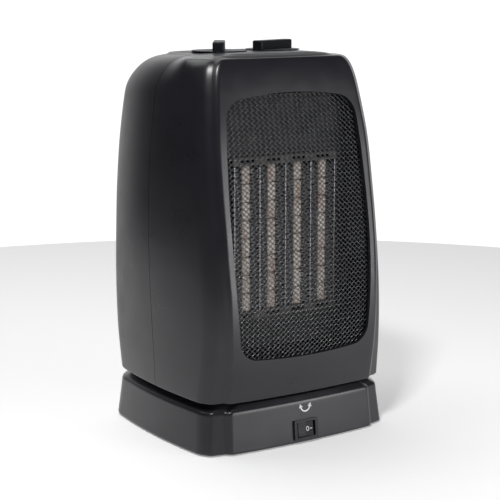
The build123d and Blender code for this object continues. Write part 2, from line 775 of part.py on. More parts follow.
with BuildPart() as base_shell:
    loft(sections=[shell_section(base_levels, z) for z in (base_foot, base_edge)], ruled=True)
    loft(sections=[shell_section(base_levels, base_edge),
                   shell_section(base_levels, deck_top, base_slope_inset)], ruled=True)
    loft(sections=[room_section(base_levels, z) for z in (base_foot, base_edge - wall)], ruled=True,
         mode=Mode.SUBTRACT)
    loft(sections=[room_section(base_levels, base_edge - wall),
                   room_section(base_levels, deck_bottom, base_slope_inset)], ruled=True,
         mode=Mode.SUBTRACT)
    with BuildSketch(Plane.XY.offset(base_foot + wall)):
        with Locations(base_screw_places):
            Circle(base_post_radius)
    extrude(amount=deck_bottom - base_foot - wall)
    with BuildSketch(Plane.XY.offset(base_foot + wall)):
        with Locations(base_screw_places):
            Circle(screw_radius)
    extrude(amount=20, mode=Mode.SUBTRACT)
    with BuildSketch(Plane.XY.offset(deck_bottom)):
        Circle(spigot_radius + running)
    extrude(amount=deck_thickness, mode=Mode.SUBTRACT)
    with BuildSketch(rocker_plane):
        Rectangle(rocker_body[0], rocker_body[1])
    extrude(amount=8, both=True, mode=Mode.SUBTRACT)
    with BuildSketch(Plane.XZ.offset(-60)):
        with Locations((0, gland_z)):
            Circle(gland_radius)
    extrude(amount=-30, mode=Mode.SUBTRACT)
save(base_shell.part, "base_shell")

with BuildPart() as base_bottom_plate:
    extrude(room_section(base_levels, base_foot + wall), amount=-wall)
    with BuildSketch(Plane.XY.offset(base_foot)):
        with Locations(base_screw_places):
            Circle(screw_radius)
    extrude(amount=wall, mode=Mode.SUBTRACT)
    with BuildSketch(Plane.XY.offset(base_foot)):
        with Locations(base_screw_places):
            Circle(screw_head_radius)
    extrude(amount=1.5, mode=Mode.SUBTRACT)
    with BuildSketch(Plane.XY.offset(base_foot)):
        with Locations(foot_places):
            Circle(foot_stem_radius)
    extrude(amount=wall, mode=Mode.SUBTRACT)
    with BuildSketch(Plane.XY.offset(base_foot + 1.2)):      # relief under the rocker switch
        with Locations((0, -70)):
            Rectangle(rocker_body[0] + 2, 20)
    extrude(amount=wall, mode=Mode.SUBTRACT)
    with BuildSketch(Plane.XY.offset(base_foot + wall)):
        with Locations(motor_ear_places):
            Circle(motor_post_radius)
            Circle(screw_radius, mode=Mode.SUBTRACT)
    extrude(amount=motor_bottom - base_foot - wall)
save(base_bottom_plate.part, "base_bottom_plate")

with BuildPart() as rubber_feet:
    with BuildSketch():
        with Locations(foot_places):
            Circle(foot_radius)
    extrude(amount=base_foot)
    fillet(edges().group_by(Axis.Z)[0], 0.4)
    with BuildSketch(Plane.XY.offset(base_foot)):
        with Locations(foot_places):
            Circle(foot_stem_radius)
    extrude(amount=wall)
save(rubber_feet.part, "rubber_feet")

with BuildPart() as base_screws:
    with BuildSketch(Plane.XY.offset(base_foot + 0.2)):
        with Locations(base_screw_places):
            Circle(screw_head_radius)
    extrude(amount=1.3)
    with BuildSketch(Plane.XY.offset(base_foot + 1.5)):
        with Locations(base_screw_places):
            Circle(screw_radius)
    extrude(amount=12)
save(base_screws.part, "base_screws")

with BuildPart() as glide_ring:
    with BuildSketch(Plane.XY.offset(deck_top)):
        Circle(glide_radii[0])
        Circle(glide_radii[1], mode=Mode.SUBTRACT)
    extrude(amount=tower_bottom - deck_top - 0.1)
save(glide_ring.part, "glide_ring")

with BuildPart() as cord_gland:
    with BuildSketch(Plane.XZ.offset(-gland_y[0])):
        with Locations((0, gland_z)):
            Circle(gland_radius)
    extrude(amount=-(gland_y[1] - gland_y[0]))
    with BuildSketch(Plane.XZ.offset(-gland_y[1])):
        with Locations((0, gland_z)):
            Circle(gland_flange_radius)
    extrude(amount=-(gland_y[2] - gland_y[1]))
    fillet(edges().group_by(Axis.Y)[-1], 1)
    with BuildSketch(Plane.XZ.offset(-60)):
        with Locations((0, gland_z)):
            Circle(gland_bore_radius)
    extrude(amount=-30, mode=Mode.SUBTRACT)
save(cord_gland.part, "cord_gland")

# ---------- rocker switch ----------
with BuildPart() as rocker_switch_housing:
    with BuildSketch(rocker_plane):
        Rectangle(*bezel_size)
    extrude(amount=bezel_thickness)
    fillet(edges().filter_by(lambda e: abs(e.length - bezel_thickness) < 0.01), 1)
    with BuildSketch(rocker_plane):
        Rectangle(rocker_body[0], rocker_body[1])
    extrude(amount=-rocker_body[2])
    with BuildSketch(rocker_plane.offset(bezel_thickness)):
        Rectangle(*bezel_opening)
    extrude(amount=-8, mode=Mode.SUBTRACT)
    with BuildSketch(rocker_plane.offset(-1)):
        Rectangle(2 * rocker_radius + 1.6, bezel_opening[1])
    extrude(amount=-12, mode=Mode.SUBTRACT)
save(rocker_switch_housing.part, "rocker_switch_housing")

# the button's outline, seen along its pivot, is a round drum with a shallow V cut across its front
pivot_y = -rocker_pivot_depth
face_rise = rocker_flat - pivot_y
throw = math.radians(rocker_throw)
left_tip = (-math.sqrt(rocker_radius ** 2 - face_rise ** 2), rocker_flat)
slant = face_rise * math.sin(throw)
reach = math.sqrt(slant ** 2 - face_rise ** 2 + rocker_radius ** 2) - slant
right_tip = (reach * math.cos(throw), rocker_flat + reach * math.sin(throw))
drum_plane = Plane(origin=(0, base_front, rocker_z),
                   x_dir=(1, 0, 0), z_dir=(0, lean_sin, lean_cos))
with BuildPart() as rocker_button:
    with BuildSketch(drum_plane):
        with BuildLine():
            face = Polyline((left_tip[0], -left_tip[1]), (0, -rocker_flat),
                            (right_tip[0], -right_tip[1]))
            low_right = (rocker_radius * math.cos(drum_cut),
                         rocker_radius * math.sin(drum_cut) - pivot_y)
            right_side = ThreePointArc(face @ 1, (rocker_radius, -pivot_y), low_right)
            base_line = Line(right_side @ 1, (-low_right[0], low_right[1]))
            ThreePointArc(base_line @ 1, (-rocker_radius, -pivot_y), face @ 0)
        make_face()
    extrude(amount=rocker_height / 2, both=True)
save(rocker_button.part, "rocker_button")

with BuildPart() as switch_terminals:
    with BuildSketch(rocker_plane.offset(-rocker_body[2])):
        with Locations((-4, 0), (4, 0)):
            Rectangle(0.8, 4.8)
    extrude(amount=-7)
save(switch_terminals.part, "switch_terminals")

# ---------- oscillation motor and crank ----------
with BuildPart() as osc_motor:
    with BuildSketch(Plane.XY.offset(motor_bottom)):
        with Locations((0, -crank_offset)):
            Circle(motor_radius)
    extrude(amount=motor_height)
    fillet(edges().group_by(Axis.Z)[-1], 1.5)
    with BuildSketch(Plane.XY.offset(motor_bottom)):
        with Locations((0, -crank_offset)):
            SlotOverall(*motor_ear)
    extrude(amount=motor_ear_thickness)
    with BuildSketch(Plane.XY.offset(motor_bottom)):
        with Locations(motor_ear_places):
            Circle(screw_radius)
    extrude(amount=2, mode=Mode.SUBTRACT)
    with BuildSketch(Plane.XY.offset(motor_bottom + 5)):
        with Locations((0, -crank_offset)):
            Circle(shaft_radius + running)
    extrude(amount=20, mode=Mode.SUBTRACT)
save(osc_motor.part, "osc_motor")

with BuildPart() as osc_motor_screws:
    with BuildSketch(Plane.XY.offset(base_foot + wall)):
        with Locations(motor_ear_places):
            Circle(screw_radius)
    extrude(amount=motor_bottom + motor_ear_thickness - base_foot - wall)
    with BuildSketch(Plane.XY.offset(motor_bottom + motor_ear_thickness)):
        with Locations(motor_ear_places):
            Circle(screw_head_radius)
    extrude(amount=1.8)
save(osc_motor_screws.part, "osc_motor_screws")

crank_bottom = motor_bottom + motor_height + 1
with BuildPart() as motor_output_shaft:
    with BuildSketch(Plane.XY.offset(motor_bottom + 5.5)):
        with Locations((0, -crank_offset)):
            Circle(shaft_radius)
    extrude(amount=crank_bottom + crank_thickness - motor_bottom - 5.5)
save(motor_output_shaft.part, "motor_output_shaft")

with BuildPart() as crank_disc:
    with BuildSketch(Plane.XY.offset(crank_bottom)):
        with Locations((0, -crank_offset)):
            Circle(crank_radius)
            Circle(shaft_radius, mode=Mode.SUBTRACT)
    extrude(amount=crank_thickness)
    with BuildSketch(Plane.XY.offset(crank_bottom + crank_thickness)):
        with Locations((0, -crank_offset - crank_throw)):
            Circle(crank_pin_radius)
    extrude(amount=yoke_bottom + yoke_thickness - 0.5 - crank_bottom - crank_thickness)
save(crank_disc.part, "crank_disc")
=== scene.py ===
import bmesh
import bpy
import json
import math
import mathutils
import numpy as np
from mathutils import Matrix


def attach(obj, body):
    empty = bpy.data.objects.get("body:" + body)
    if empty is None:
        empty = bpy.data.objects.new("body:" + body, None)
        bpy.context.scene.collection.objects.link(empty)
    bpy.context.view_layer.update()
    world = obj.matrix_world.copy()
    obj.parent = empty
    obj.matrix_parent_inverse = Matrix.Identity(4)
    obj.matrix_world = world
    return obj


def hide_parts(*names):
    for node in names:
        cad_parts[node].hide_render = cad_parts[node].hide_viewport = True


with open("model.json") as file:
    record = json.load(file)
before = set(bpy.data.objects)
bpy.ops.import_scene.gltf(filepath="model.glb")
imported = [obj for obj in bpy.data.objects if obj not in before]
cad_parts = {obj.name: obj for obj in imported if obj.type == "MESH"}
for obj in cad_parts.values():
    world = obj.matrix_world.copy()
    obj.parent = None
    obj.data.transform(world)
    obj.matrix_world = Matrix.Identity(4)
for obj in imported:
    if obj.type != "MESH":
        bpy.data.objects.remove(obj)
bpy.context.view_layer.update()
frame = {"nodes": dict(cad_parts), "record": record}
print("frame loaded:", len(frame["nodes"]), "nodes")

# every size below is in millimetres, and becomes metres when a mesh is made
camera = {"place": (-608.1, -906.9, 335.0), "down": 10.51, "turn": -34.0, "lens": 104.4}

cameraData = bpy.data.cameras.new("camera")
cameraData.lens = camera["lens"]
cameraData.sensor_width = 36
cameraData.clip_end = 100
cameraObject = bpy.data.objects.new("camera", cameraData)
cameraObject.location = [v / 1000 for v in camera["place"]]
cameraObject.rotation_euler = (math.radians(90 - camera["down"]), 0, math.radians(camera["turn"]))
bpy.context.scene.collection.objects.link(cameraObject)
bpy.context.scene.camera = cameraObject


# meshes from arrays
def gridFaces(rows, cols, closeCols=False):
    # four-sided faces between neighbouring rows and columns of a grid of points
    i, j = np.meshgrid(np.arange(rows - 1), np.arange(cols if closeCols else cols - 1), indexing="ij")
    beside = (j + 1) % cols
    corners = [i * cols + j, i * cols + beside, (i + 1) * cols + beside, (i + 1) * cols + j]
    return np.stack(corners, -1).reshape(-1, 4)


def gridSheet(points, closeCols=False, keep=None):
    # one grid of points (rows, cols, 3) as vertices and faces, with some faces left out
    faces = gridFaces(points.shape[0], points.shape[1], closeCols)
    if keep is not None:
        faces = faces[keep.ravel()]
    return points.reshape(-1, 3), faces


def repeatedSheets(points, closeCols=False):
    # many equal grids (count, rows, cols, 3) as one set of vertices and faces
    count, rows, cols = points.shape[:3]
    faces = gridFaces(rows, cols, closeCols)[None] + (np.arange(count) * rows * cols)[:, None, None]
    return points.reshape(-1, 3), faces.reshape(-1, 4)


def joined(*sheets):
    # several sets of vertices and faces as one
    starts = np.cumsum([0] + [len(verts) for verts, faces in sheets[:-1]])
    allFaces = [faces + start for (verts, faces), start in zip(sheets, starts)]
    return np.concatenate([verts for verts, faces in sheets]), np.concatenate(allFaces)


def mirrored(points):
    # the same points with X reversed, in reverse column order
    return (points * [-1, 1, 1])[:, ::-1]


mesher = {"weld": 0.000004, "smallest": 0.000001, "bevelFrom": 50, "handle": 0.5523}


def makePiece(name, sheets, body, finish, replaced=(), wall=0, edge=0, sharp=35, outward=True):
    # welds the sheets into one mesh, turns its faces outwards, and gives it a wall and rounded rims
    verts, faces = sheets
    mesh = bpy.data.meshes.new(name)
    mesh.from_pydata((verts / 1000).tolist(), [], faces.tolist())
    work = bmesh.new()
    work.from_mesh(mesh)
    bmesh.ops.remove_doubles(work, verts=work.verts, dist=mesher["weld"])
    bmesh.ops.dissolve_degenerate(work, dist=mesher["smallest"], edges=work.edges)
    bmesh.ops.recalc_face_normals(work, faces=work.faces)
    if outward:
        total = sum((face.calc_center_median() for face in work.faces), mathutils.Vector())
        middle = total / len(work.faces)
        pointing = sum((face.calc_center_median() - middle).dot(face.normal) * face.calc_area()
                       for face in work.faces)
        if pointing < 0:
            bmesh.ops.reverse_faces(work, faces=work.faces)
    work.to_mesh(mesh)
    work.free()
    mesh.polygons.foreach_set("use_smooth", np.ones(len(mesh.polygons), bool))
    mesh.set_sharp_from_angle(angle=math.radians(sharp))
    piece = bpy.data.objects.new(name, mesh)
    bpy.context.scene.collection.objects.link(piece)
    mesh.materials.append(finish)
    if wall:
        solid = piece.modifiers.new("wall", "SOLIDIFY")
        solid.thickness = wall / 1000
        solid.offset = -1
    if edge:
        bevel = piece.modifiers.new("edge", "BEVEL")
        bevel.width = edge / 1000
        bevel.segments = 2
        bevel.limit_method = "ANGLE"
        bevel.angle_limit = math.radians(mesher["bevelFrom"])
        bevel.harden_normals = True
    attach(piece, body)
    if replaced:
        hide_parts(*replaced)
    print("made", name, len(mesh.polygons), "faces")
    return piece


def cornerCurve(start, corner, end, count):
    # a round corner between two tangents: a cubic curve whose handles reach a fixed share of the way to
    # the corner
    t = np.linspace(0, 1, count).reshape((1,) * (start.ndim - 1) + (count, 1))
    a = start + mesher["handle"] * (corner - start)
    b = end + mesher["handle"] * (corner - end)
    start, a, b, end = (p[..., None, :] for p in (start, a, b, end))
    return (1 - t) ** 3 * start + 3 * t * (1 - t) ** 2 * a + 3 * t ** 2 * (1 - t) * b + t ** 3 * end


def alongLine(points, fractions):
    # the points at these fractions of a line's length
    steps = np.concatenate([[0], np.cumsum(np.linalg.norm(np.diff(points, axis=0), axis=1))])
    wanted = fractions * steps[-1]
    return np.stack([np.interp(wanted, steps, points[:, k]) for k in range(points.shape[1])], -1)


def smoothStep(t):
    t = np.clip(t, 0, 1)
    return t * t * (3 - 2 * t)


# body shape shared by the housings and the base
body = {
    "seamY": -2.0,
    "bulge": 3.3,               # the front panel bows forward
    "panelMargin": 3.0,         # the opening's patch ends this far inside the panel edge
    "stepOut": (3.0, 3.6),
    "bandEdge": (-1.5, 6.2),
    "sideEdge": (3.2, 14.0),
    "edgeRounding": (1.9, 0.8, 1.9, 3.4),
    "rearRounding": 20.0,
    "rearShare": 0.3,           # the rear rounding is at most this share of the back plane's distance
    "rearBow": 2.0,             # the back bows outward
    "stepRoom": 8.0,            # least room between the panel edge and the corner
    "panelColumns": 41,
    "sideColumns": 22,
    "rearColumns": 20,
    "crownLean": 0.35,          # the front panel leans back by this share of the crown's inset
    "wall": 2.5,
    "rim": 0.5,
    "seamGap": 0.22,            # each housing stops this far short of the seam
}
tower = {
    "levels": [                 # height, seam, corner, panel, front, back, rear corner
        (38, 82.8, 77.2, 64.0, -73.2, 76.0, 75.0),
        (70, 84.2, 75.4, 64.6, -77.5, 78.6, 76.3),
        (110, 86.1, 74.6, 65.4, -77.8, 80.6, 75.2),
        (150, 87.05, 74.4, 66.6, -74.0, 80.8, 73.3),
        (190, 86.3, 74.2, 66.6, -68.0, 80.4, 71.0),
        (225, 83.9, 73.0, 65.6, -62.5, 77.5, 69.4),
        (253, 80.4, 69.9, 63.4, -57.0, 73.4, 67.6),
        (284, 76.0, 66.0, 60.0, -50.0, 67.0, 64.0),
    ],
    "foot": 38.0,
    "wallTop": 253.0,
    "top": 284.0,
    "crown": [(0, 253), (0.3, 257.9), (1.2, 262.6), (2.7, 267), (4.7, 271), (7.1, 274.4), (10, 277.25),
              (14, 279.6), (20, 281.3), (27, 282.6), (34, 283.5), (42, 284)],
    "crownEnd": 20.0,
    "domeSoftness": 3.0,
    "frontCrown": (0.5, 3.0),   # at the front the crown's inset is this share, and turns in this much later
    "footRounding": 1.6,
    "ledge": (46.1, 38.5, 12.5),
}
base = {
    "levels": [
        (1.2, 85.4, 79.3, 63.6, -75.9, 79.0, 77.5),
        (31, 82.6, 76.4, 62.4, -73.0, 76.2, 74.6),
        (36, 82.2, 76.0, 62.2, -72.6, 75.8, 74.2),
    ],
    # inset and height up the outside: the foot, the plain wall, then the shoulder up to the deck
    "foot": [(0.9, 1.2), (0.25, 1.45), (0, 2.2)],
    "plainWall": (3.4, 28.6, 22),
    "shoulder": [(0, 29.4), (0.2, 30.6), (0.75, 31.5), (2.2, 32.6), (4.2, 34.1), (6.0, 35.4), (6.8, 35.85),
                 (7.8, 36.0)],
    "deck": 36.0,
    "deckHole": 23.0,
    "rearReach": 12.0,          # half the width of the back's middle part
    "wall": 2.4,
    "rim": 0.3,
}


def levelsAt(levels, z):
    # the table's columns at these heights, by a cubic curve whose slopes come from the neighbouring rows
    rows = np.array(levels, float)
    heights, values = rows[:, 0], rows[:, 1:]
    slopes = np.gradient(values, heights, axis=0)
    k = np.clip(np.searchsorted(heights, z, side="right") - 1, 0, len(heights) - 2)
    step = (heights[k + 1] - heights[k])[:, None]
    t = (z[:, None] - heights[k][:, None]) / step
    return ((2 * t ** 3 - 3 * t ** 2 + 1) * values[k] + (t ** 3 - 2 * t ** 2 + t) * step * slopes[k]
            + (3 * t ** 2 - 2 * t ** 3) * values[k + 1] + (t ** 3 - t ** 2) * step * slopes[k + 1]).T


def sizesAt(levels, z, inset):
    # half-widths and planes of the section at each height, moved in by the inset
    seam, corner, panel, front, back, rear = levelsAt(levels, z)
    return (seam - inset, corner - inset, np.minimum(panel - inset, corner - inset - body["stepRoom"]),
            front + body["crownLean"] * inset, back - inset, rear - inset)


def flat(x, y):
    return np.stack(np.broadcast_arrays(x, y), -1)


def along(a, b, distance):
    # the point at this distance from a towards b
    run = b - a
    return a + run / np.linalg.norm(run, axis=-1, keepdims=True) * distance[..., None]


def sideCircle(sizes):
    # centre, radius and end angles of the arc through the side edge, the seam and the rear corner
    seam, corner, panel, front, back, rear = sizes
    a = flat(corner + body["sideEdge"][0], front + body["sideEdge"][1])
    b = flat(seam, body["seamY"]) - a
    c = flat(rear, back - body["rearBow"]) - a
    twice = 2 * (b[..., 0] * c[..., 1] - b[..., 1] * c[..., 0])
    bb, cc = (b ** 2).sum(-1), (c ** 2).sum(-1)
    toCentre = flat(c[..., 1] * bb - b[..., 1] * cc, b[..., 0] * cc - c[..., 0] * bb)
    centre = a + toCentre / twice[..., None]
    angles = [np.arctan2(*(p - centre)[..., ::-1].T) for p in (a, a + b, a + c)]
    return centre, np.linalg.norm(a - centre, axis=-1), angles


def onCircle(centre, radius, angle):
    return centre[..., None, :] + radius[..., None, None] * np.stack([np.cos(angle), np.sin(angle)], -1)


def panelY(sizes, x):
    # the front panel: a parabola that is furthest forward in the middle
    return sizes[3][:, None] - body["bulge"] * (1 - (x / sizes[2][:, None]) ** 2)


def frontHalf(sizes, gap=0.0):
    # half a section from the panel out to the seam: panel edge, step, corner band, side edge and side arc
    seam, corner, panel, front, back, rear = sizes
    one = np.ones_like(front)
    r = body["edgeRounding"]
    start = panel - body["panelMargin"]
    bow = start[:, None] + (body["panelMargin"] - r[0]) * np.array([0, 0.5, 1])
    bow = np.stack([bow, panelY(sizes, bow)], -1)
    edge = flat(panel, front)
    step = flat(panel + body["stepOut"][0], front + body["stepOut"][1])
    band = flat(corner + body["bandEdge"][0], front + body["bandEdge"][1])
    side = flat(corner + body["sideEdge"][0], front + body["sideEdge"][1])
    width = np.linalg.norm(band - step, axis=-1)
    centre, radius, angles = sideCircle(sizes)
    sideStart = angles[0] + r[3] / radius
    sideSpan = angles[1] - gap / radius - sideStart
    shares = np.linspace(0, 1, body["sideColumns"])
    arc = onCircle(centre, radius, sideStart[:, None] + sideSpan[:, None] * shares)
    stepEnd = along(step, band, np.minimum(r[1], 0.3 * width))
    bandStart = along(band, step, np.minimum(r[2], 0.5 * width))
    parts = [
        bow[:, :-1],
        cornerCurve(bow[:, -1], edge, along(edge, step, r[0] * one), 7),
        cornerCurve(along(step, edge, r[1] * one), step, stepEnd, 4),
        cornerCurve(bandStart, band, along(band, side, r[2] * one), 6),
        cornerCurve(along(side, band, r[3] * one), side, arc[:, 0], 7),
        arc[:, 1:],
    ]
    return np.concatenate(parts, 1)


def rearY(sizes, x):
    # the back: a parabola that is furthest back in the middle
    return sizes[4][:, None] - body["rearBow"] * (x / sizes[5][:, None]) ** 2


def rearTurn(sizes):
    # how far from the corner the rear rounding starts
    return np.minimum(body["rearRounding"], body["rearShare"] * sizes[4])


def rearHalf(sizes, reach, gap=0.0):
    # half a section from the seam round the rear corner to X = reach
    seam, corner, panel, front, back, rear = sizes
    rounding = rearTurn(sizes)
    centre, radius, angles = sideCircle(sizes)
    sideEnd = angles[2] - rounding / radius
    sideStart = angles[1] + gap / radius
    shares = np.linspace(0, 1, body["rearColumns"])
    arc = onCircle(centre, radius, sideStart[:, None] + (sideEnd - sideStart)[:, None] * shares)
    turned = rear - rounding
    x = turned[:, None] + (reach - turned)[:, None] * np.linspace(0, 1, 4)[None]
    run = np.stack([x, rearY(sizes, x)], -1)
    curve = cornerCurve(arc[:, -1], flat(rear, back - 1.8), run[:, 0], 13)
    return np.concatenate([arc[:, :-1], curve, run[:, 1:]], 1)


def raised(points, z):
    # plan points (rows, cols, 2) put at their rows' heights
    return np.concatenate([points, np.broadcast_to(z[:, None, None], points.shape[:2] + (1,))], -1)


def smoothPath(points, count):
    # a curve through the points: cubic, with slopes from the neighbours, sampled evenly along its length
    p = np.array(points, float)
    s = np.concatenate([[0], np.cumsum(np.linalg.norm(np.diff(p, axis=0), axis=1))])
    return levelsAt(np.column_stack([s, p]), np.linspace(0, s[-1], count)).T


def towerRows(walls):
    # heights and insets of the tower's rows: rounded foot, walls, crown
    turn = np.linspace(0, np.pi / 2, 5)[:-1]
    r = tower["footRounding"]
    crown = smoothPath(tower["crown"], 60)
    crown = crown[(crown[:, 0] < tower["crownEnd"]) & (crown[:, 1] > tower["wallTop"] + 0.5)]
    end = [[tower["crownEnd"], np.interp(tower["crownEnd"], *smoothPath(tower["crown"], 200).T)]]
    crown = np.concatenate([crown, end])
    z = np.concatenate([tower["foot"] + r * (1 - np.cos(turn)), walls, crown[:, 1]])
    inset = np.concatenate([r * (1 - np.sin(turn)), np.zeros(len(walls)), crown[:, 0]])
    return z, inset


def frontInset(z):
    # the crown's inset at the front corners and panel: a superellipse, so that it turns over in a
    # tighter edge
    share, power = tower["frontCrown"]
    end = np.interp(tower["crownEnd"], *smoothPath(tower["crown"], 200).T)
    t = np.clip((z - tower["wallTop"]) / (end - tower["wallTop"]), 0, 1)
    return share * tower["crownEnd"] * (1 - (1 - t ** power) ** (1 / power))


def topHeight(x, y):
    # the top's dome: the crown curve's height at a soft minimum of the distances to the sides, front and
    # back
    seam, corner, panel, front, back, rear = levelsAt(tower["levels"], np.array([tower["top"]]))
    distances = np.stack([seam - abs(x), (y - front) / body["crownLean"], back - y])
    inset = -tower["domeSoftness"] * np.log(np.exp(-distances / tower["domeSoftness"]).sum(0))
    return np.interp(inset, *smoothPath(tower["crown"], 200).T)


def roundedRectangle(half, depth, corner, count):
    # a closed outline from +X through +Y, evenly spaced
    t = np.linspace(0, np.pi / 2, 9)
    cx = np.array([1, -1, -1, 1]) * (half - corner)
    cy = np.array([1, 1, -1, -1]) * (depth - corner)
    turn = t[None] + (np.arange(4) * np.pi / 2)[:, None]
    line = np.stack([cx[:, None] + corner * np.cos(turn), cy[:, None] + corner * np.sin(turn)], -1)
    line = np.concatenate([[[half, 0]], line.reshape(-1, 2), [[half, 0]]])
    return alongLine(line, np.arange(count) / count)


def toLedge(contour, rows):
    # the strip from the crown's last row in to the control panel's ledge, at the same bearings from the axis
    line = roundedRectangle(*tower["ledge"], 400)
    bearing = np.unwrap(np.arctan2(line[:, 1], line[:, 0]))
    wanted = np.mod(np.arctan2(contour[:, 1], contour[:, 0]) - bearing[0], 2 * np.pi) + bearing[0]
    bearing = np.append(bearing, bearing[0] + 2 * np.pi)
    line = np.concatenate([line, line[:1]])
    inner = np.stack([np.interp(wanted, bearing, line[:, k]) for k in (0, 1)], -1)
    v = np.linspace(0, 1, rows + 1)[1:, None, None]
    plan = contour[None, :, :2] * (1 - v) + inner[None] * v
    share = smoothStep(v[..., 0] * 1.5)
    z = (1 - share) * contour[None, :, 2] + share * topHeight(plan[..., 0], plan[..., 1])
    return np.concatenate([plan, z[..., None]], -1)


def framePatch(loop, hole, rows, height):
    # a surface between a closed outer loop and a hole: straight lines joining them, closer together at
    # the hole
    share = (1 - np.linspace(0, 1, rows) ** 0.7)[:, None, None]
    xz = hole[None] + (loop[None] - hole[None]) * share
    return np.stack([xz[..., 0], height(xz[..., 0], xz[..., 1]), xz[..., 1]], -1)


def matchedLoop(sides, counts):
    # points on a hole's four sides, spread as the outer loop's four sides are
    spans = [alongLine(side, np.linspace(0, 1, n + 1)[:-1]) for side, n in zip(sides, counts)]
    return np.concatenate(spans)


def cutCorners(sides, cut, count=7):
    # four lines (counter-clockwise from the bottom) with rounded corners, each from the middle of one
    # corner to the middle of the next
    trimmed = []
    for line in sides:
        length = np.linalg.norm(np.diff(line, axis=0), axis=1).sum()
        trimmed.append(alongLine(line, np.linspace(cut / length, 1 - cut / length, 30)))
    corners = [cornerCurve(trimmed[i - 1][-1], sides[i][0], trimmed[i][0], 2 * count - 1) for i in range(4)]
    following = corners[1:] + corners[:1]
    return [np.concatenate([near[count - 1:], line[1:-1], far[:count]])
            for near, line, far in zip(corners, trimmed, following)]


def blockLoop(grid, low, high, left, right):
    # the points round a block of a grid, counter-clockwise from its lower left, and how many on each side
    sides = [grid[low, left:right], grid[low:high, right], grid[high, right:left:-1], grid[high:low:-1, left]]
    return np.concatenate(sides), [len(side) for side in sides]


# finishes
def blank(name):
    finish = bpy.data.materials.new(name)
    finish.use_nodes = True
    tree = finish.node_tree
    shader = tree.nodes["Principled BSDF"]
    place = tree.nodes.new("ShaderNodeTexCoord").outputs["Object"]
    return finish, tree, shader, place


def node(tree, kind, values=(), **settings):
    made = tree.nodes.new(kind)
    for key, value in settings.items():
        setattr(made, key, value)
    for key, value in dict(values).items():
        if isinstance(value, bpy.types.NodeSocket):
            tree.links.new(value, made.inputs[key])
        else:
            made.inputs[key].default_value = value
    return made


def noise(tree, place, size, detail=2.0, roughness=0.5, stretch=(1, 1, 1)):
    # noise whose blobs are about this many millimetres across
    if stretch != (1, 1, 1):
        place = node(tree, "ShaderNodeMapping", {"Vector": place, "Scale": stretch}).outputs[0]
    return node(tree, "ShaderNodeTexNoise", {"Vector": place, "Scale": 1000 / size, "Detail": detail,
                                             "Roughness": roughness}).outputs["Fac"]


def spread(tree, value, low, high, start=0.3, end=0.7):
    # a noise value stretched between two limits
    return node(tree, "ShaderNodeMapRange", {"Value": value, "From Min": start, "From Max": end,
                                             "To Min": low, "To Max": high}).outputs["Result"]


def blend(tree, share, first, second):
    made = node(tree, "ShaderNodeMix", {0: share}, data_type="RGBA")
    for socket, colour in ((6, first), (7, second)):
        if isinstance(colour, bpy.types.NodeSocket):
            tree.links.new(colour, made.inputs[socket])
        else:
            made.inputs[socket].default_value = (*colour, 1)
    return made.outputs[2]


def bump(tree, height, depth, strength=1.0, under=None):
    # depth in millimetres
    values = {"Height": height, "Distance": depth / 1000, "Strength": strength}
    if under is not None:
        values["Normal"] = under
    return node(tree, "ShaderNodeBump", values).outputs["Normal"]


def shaded(colour, factor):
    return [min(1.0, c * factor) for c in colour]


def mouldedPlastic(name, look):
    # satin plastic: an etched grain, faint flow mottling, and patches a little shinier where it's handled
    finish, tree, shader, place = blank(name)
    cloud = spread(tree, noise(tree, place, look["mottle"], 4), 0, 1)
    fine = noise(tree, place, look["grain"], 2, 0.6)
    colour = blend(tree, cloud, shaded(look["colour"], 0.9), shaded(look["colour"], 1.12))
    speck = spread(tree, noise(tree, place, look["grain"] * 1.7, 1), 0, 0.35, 0.55, 0.75)
    tree.links.new(blend(tree, speck, colour, shaded(look["colour"], 1.5)), shader.inputs["Base Color"])
    low, high = look["roughness"]
    satin = spread(tree, noise(tree, place, look["mottle"] * 0.6, 3), low, high)
    tree.links.new(satin, shader.inputs["Roughness"])
    wave = bump(tree, noise(tree, place, look["mottle"] * 0.8, 1), look.get("wave", 0.02))
    tree.links.new(bump(tree, fine, look["depth"], under=wave), shader.inputs["Normal"])
    shader.inputs["IOR"].default_value = look.get("ior", 1.45)
    shader.inputs["Specular IOR Level"].default_value = look.get("specular", 0.5)
    return finish


def sheetMetal(name, look):
    # rolled or plated metal: fine lines along the rolling direction, cloudy plating, small dull spots
    finish, tree, shader, place = blank(name)
    lines = noise(tree, place, look["line"], 3, 0.6, look["stretch"])
    cloud = spread(tree, noise(tree, place, look["cloud"], 4), 0, 1)
    tone = blend(tree, cloud, shaded(look["colour"], 0.8), shaded(look["colour"], 1.1))
    dull = spread(tree, noise(tree, place, look["cloud"] * 0.4, 5, 0.7), 0, 0.6, 0.6, 0.75)
    tree.links.new(blend(tree, dull, tone, look["tarnish"]), shader.inputs["Base Color"])
    low, high = look["roughness"]
    tree.links.new(spread(tree, lines, low, high), shader.inputs["Roughness"])
    tree.links.new(bump(tree, lines, look["depth"]), shader.inputs["Normal"])
    shader.inputs["Metallic"].default_value = look["metallic"]
    return finish


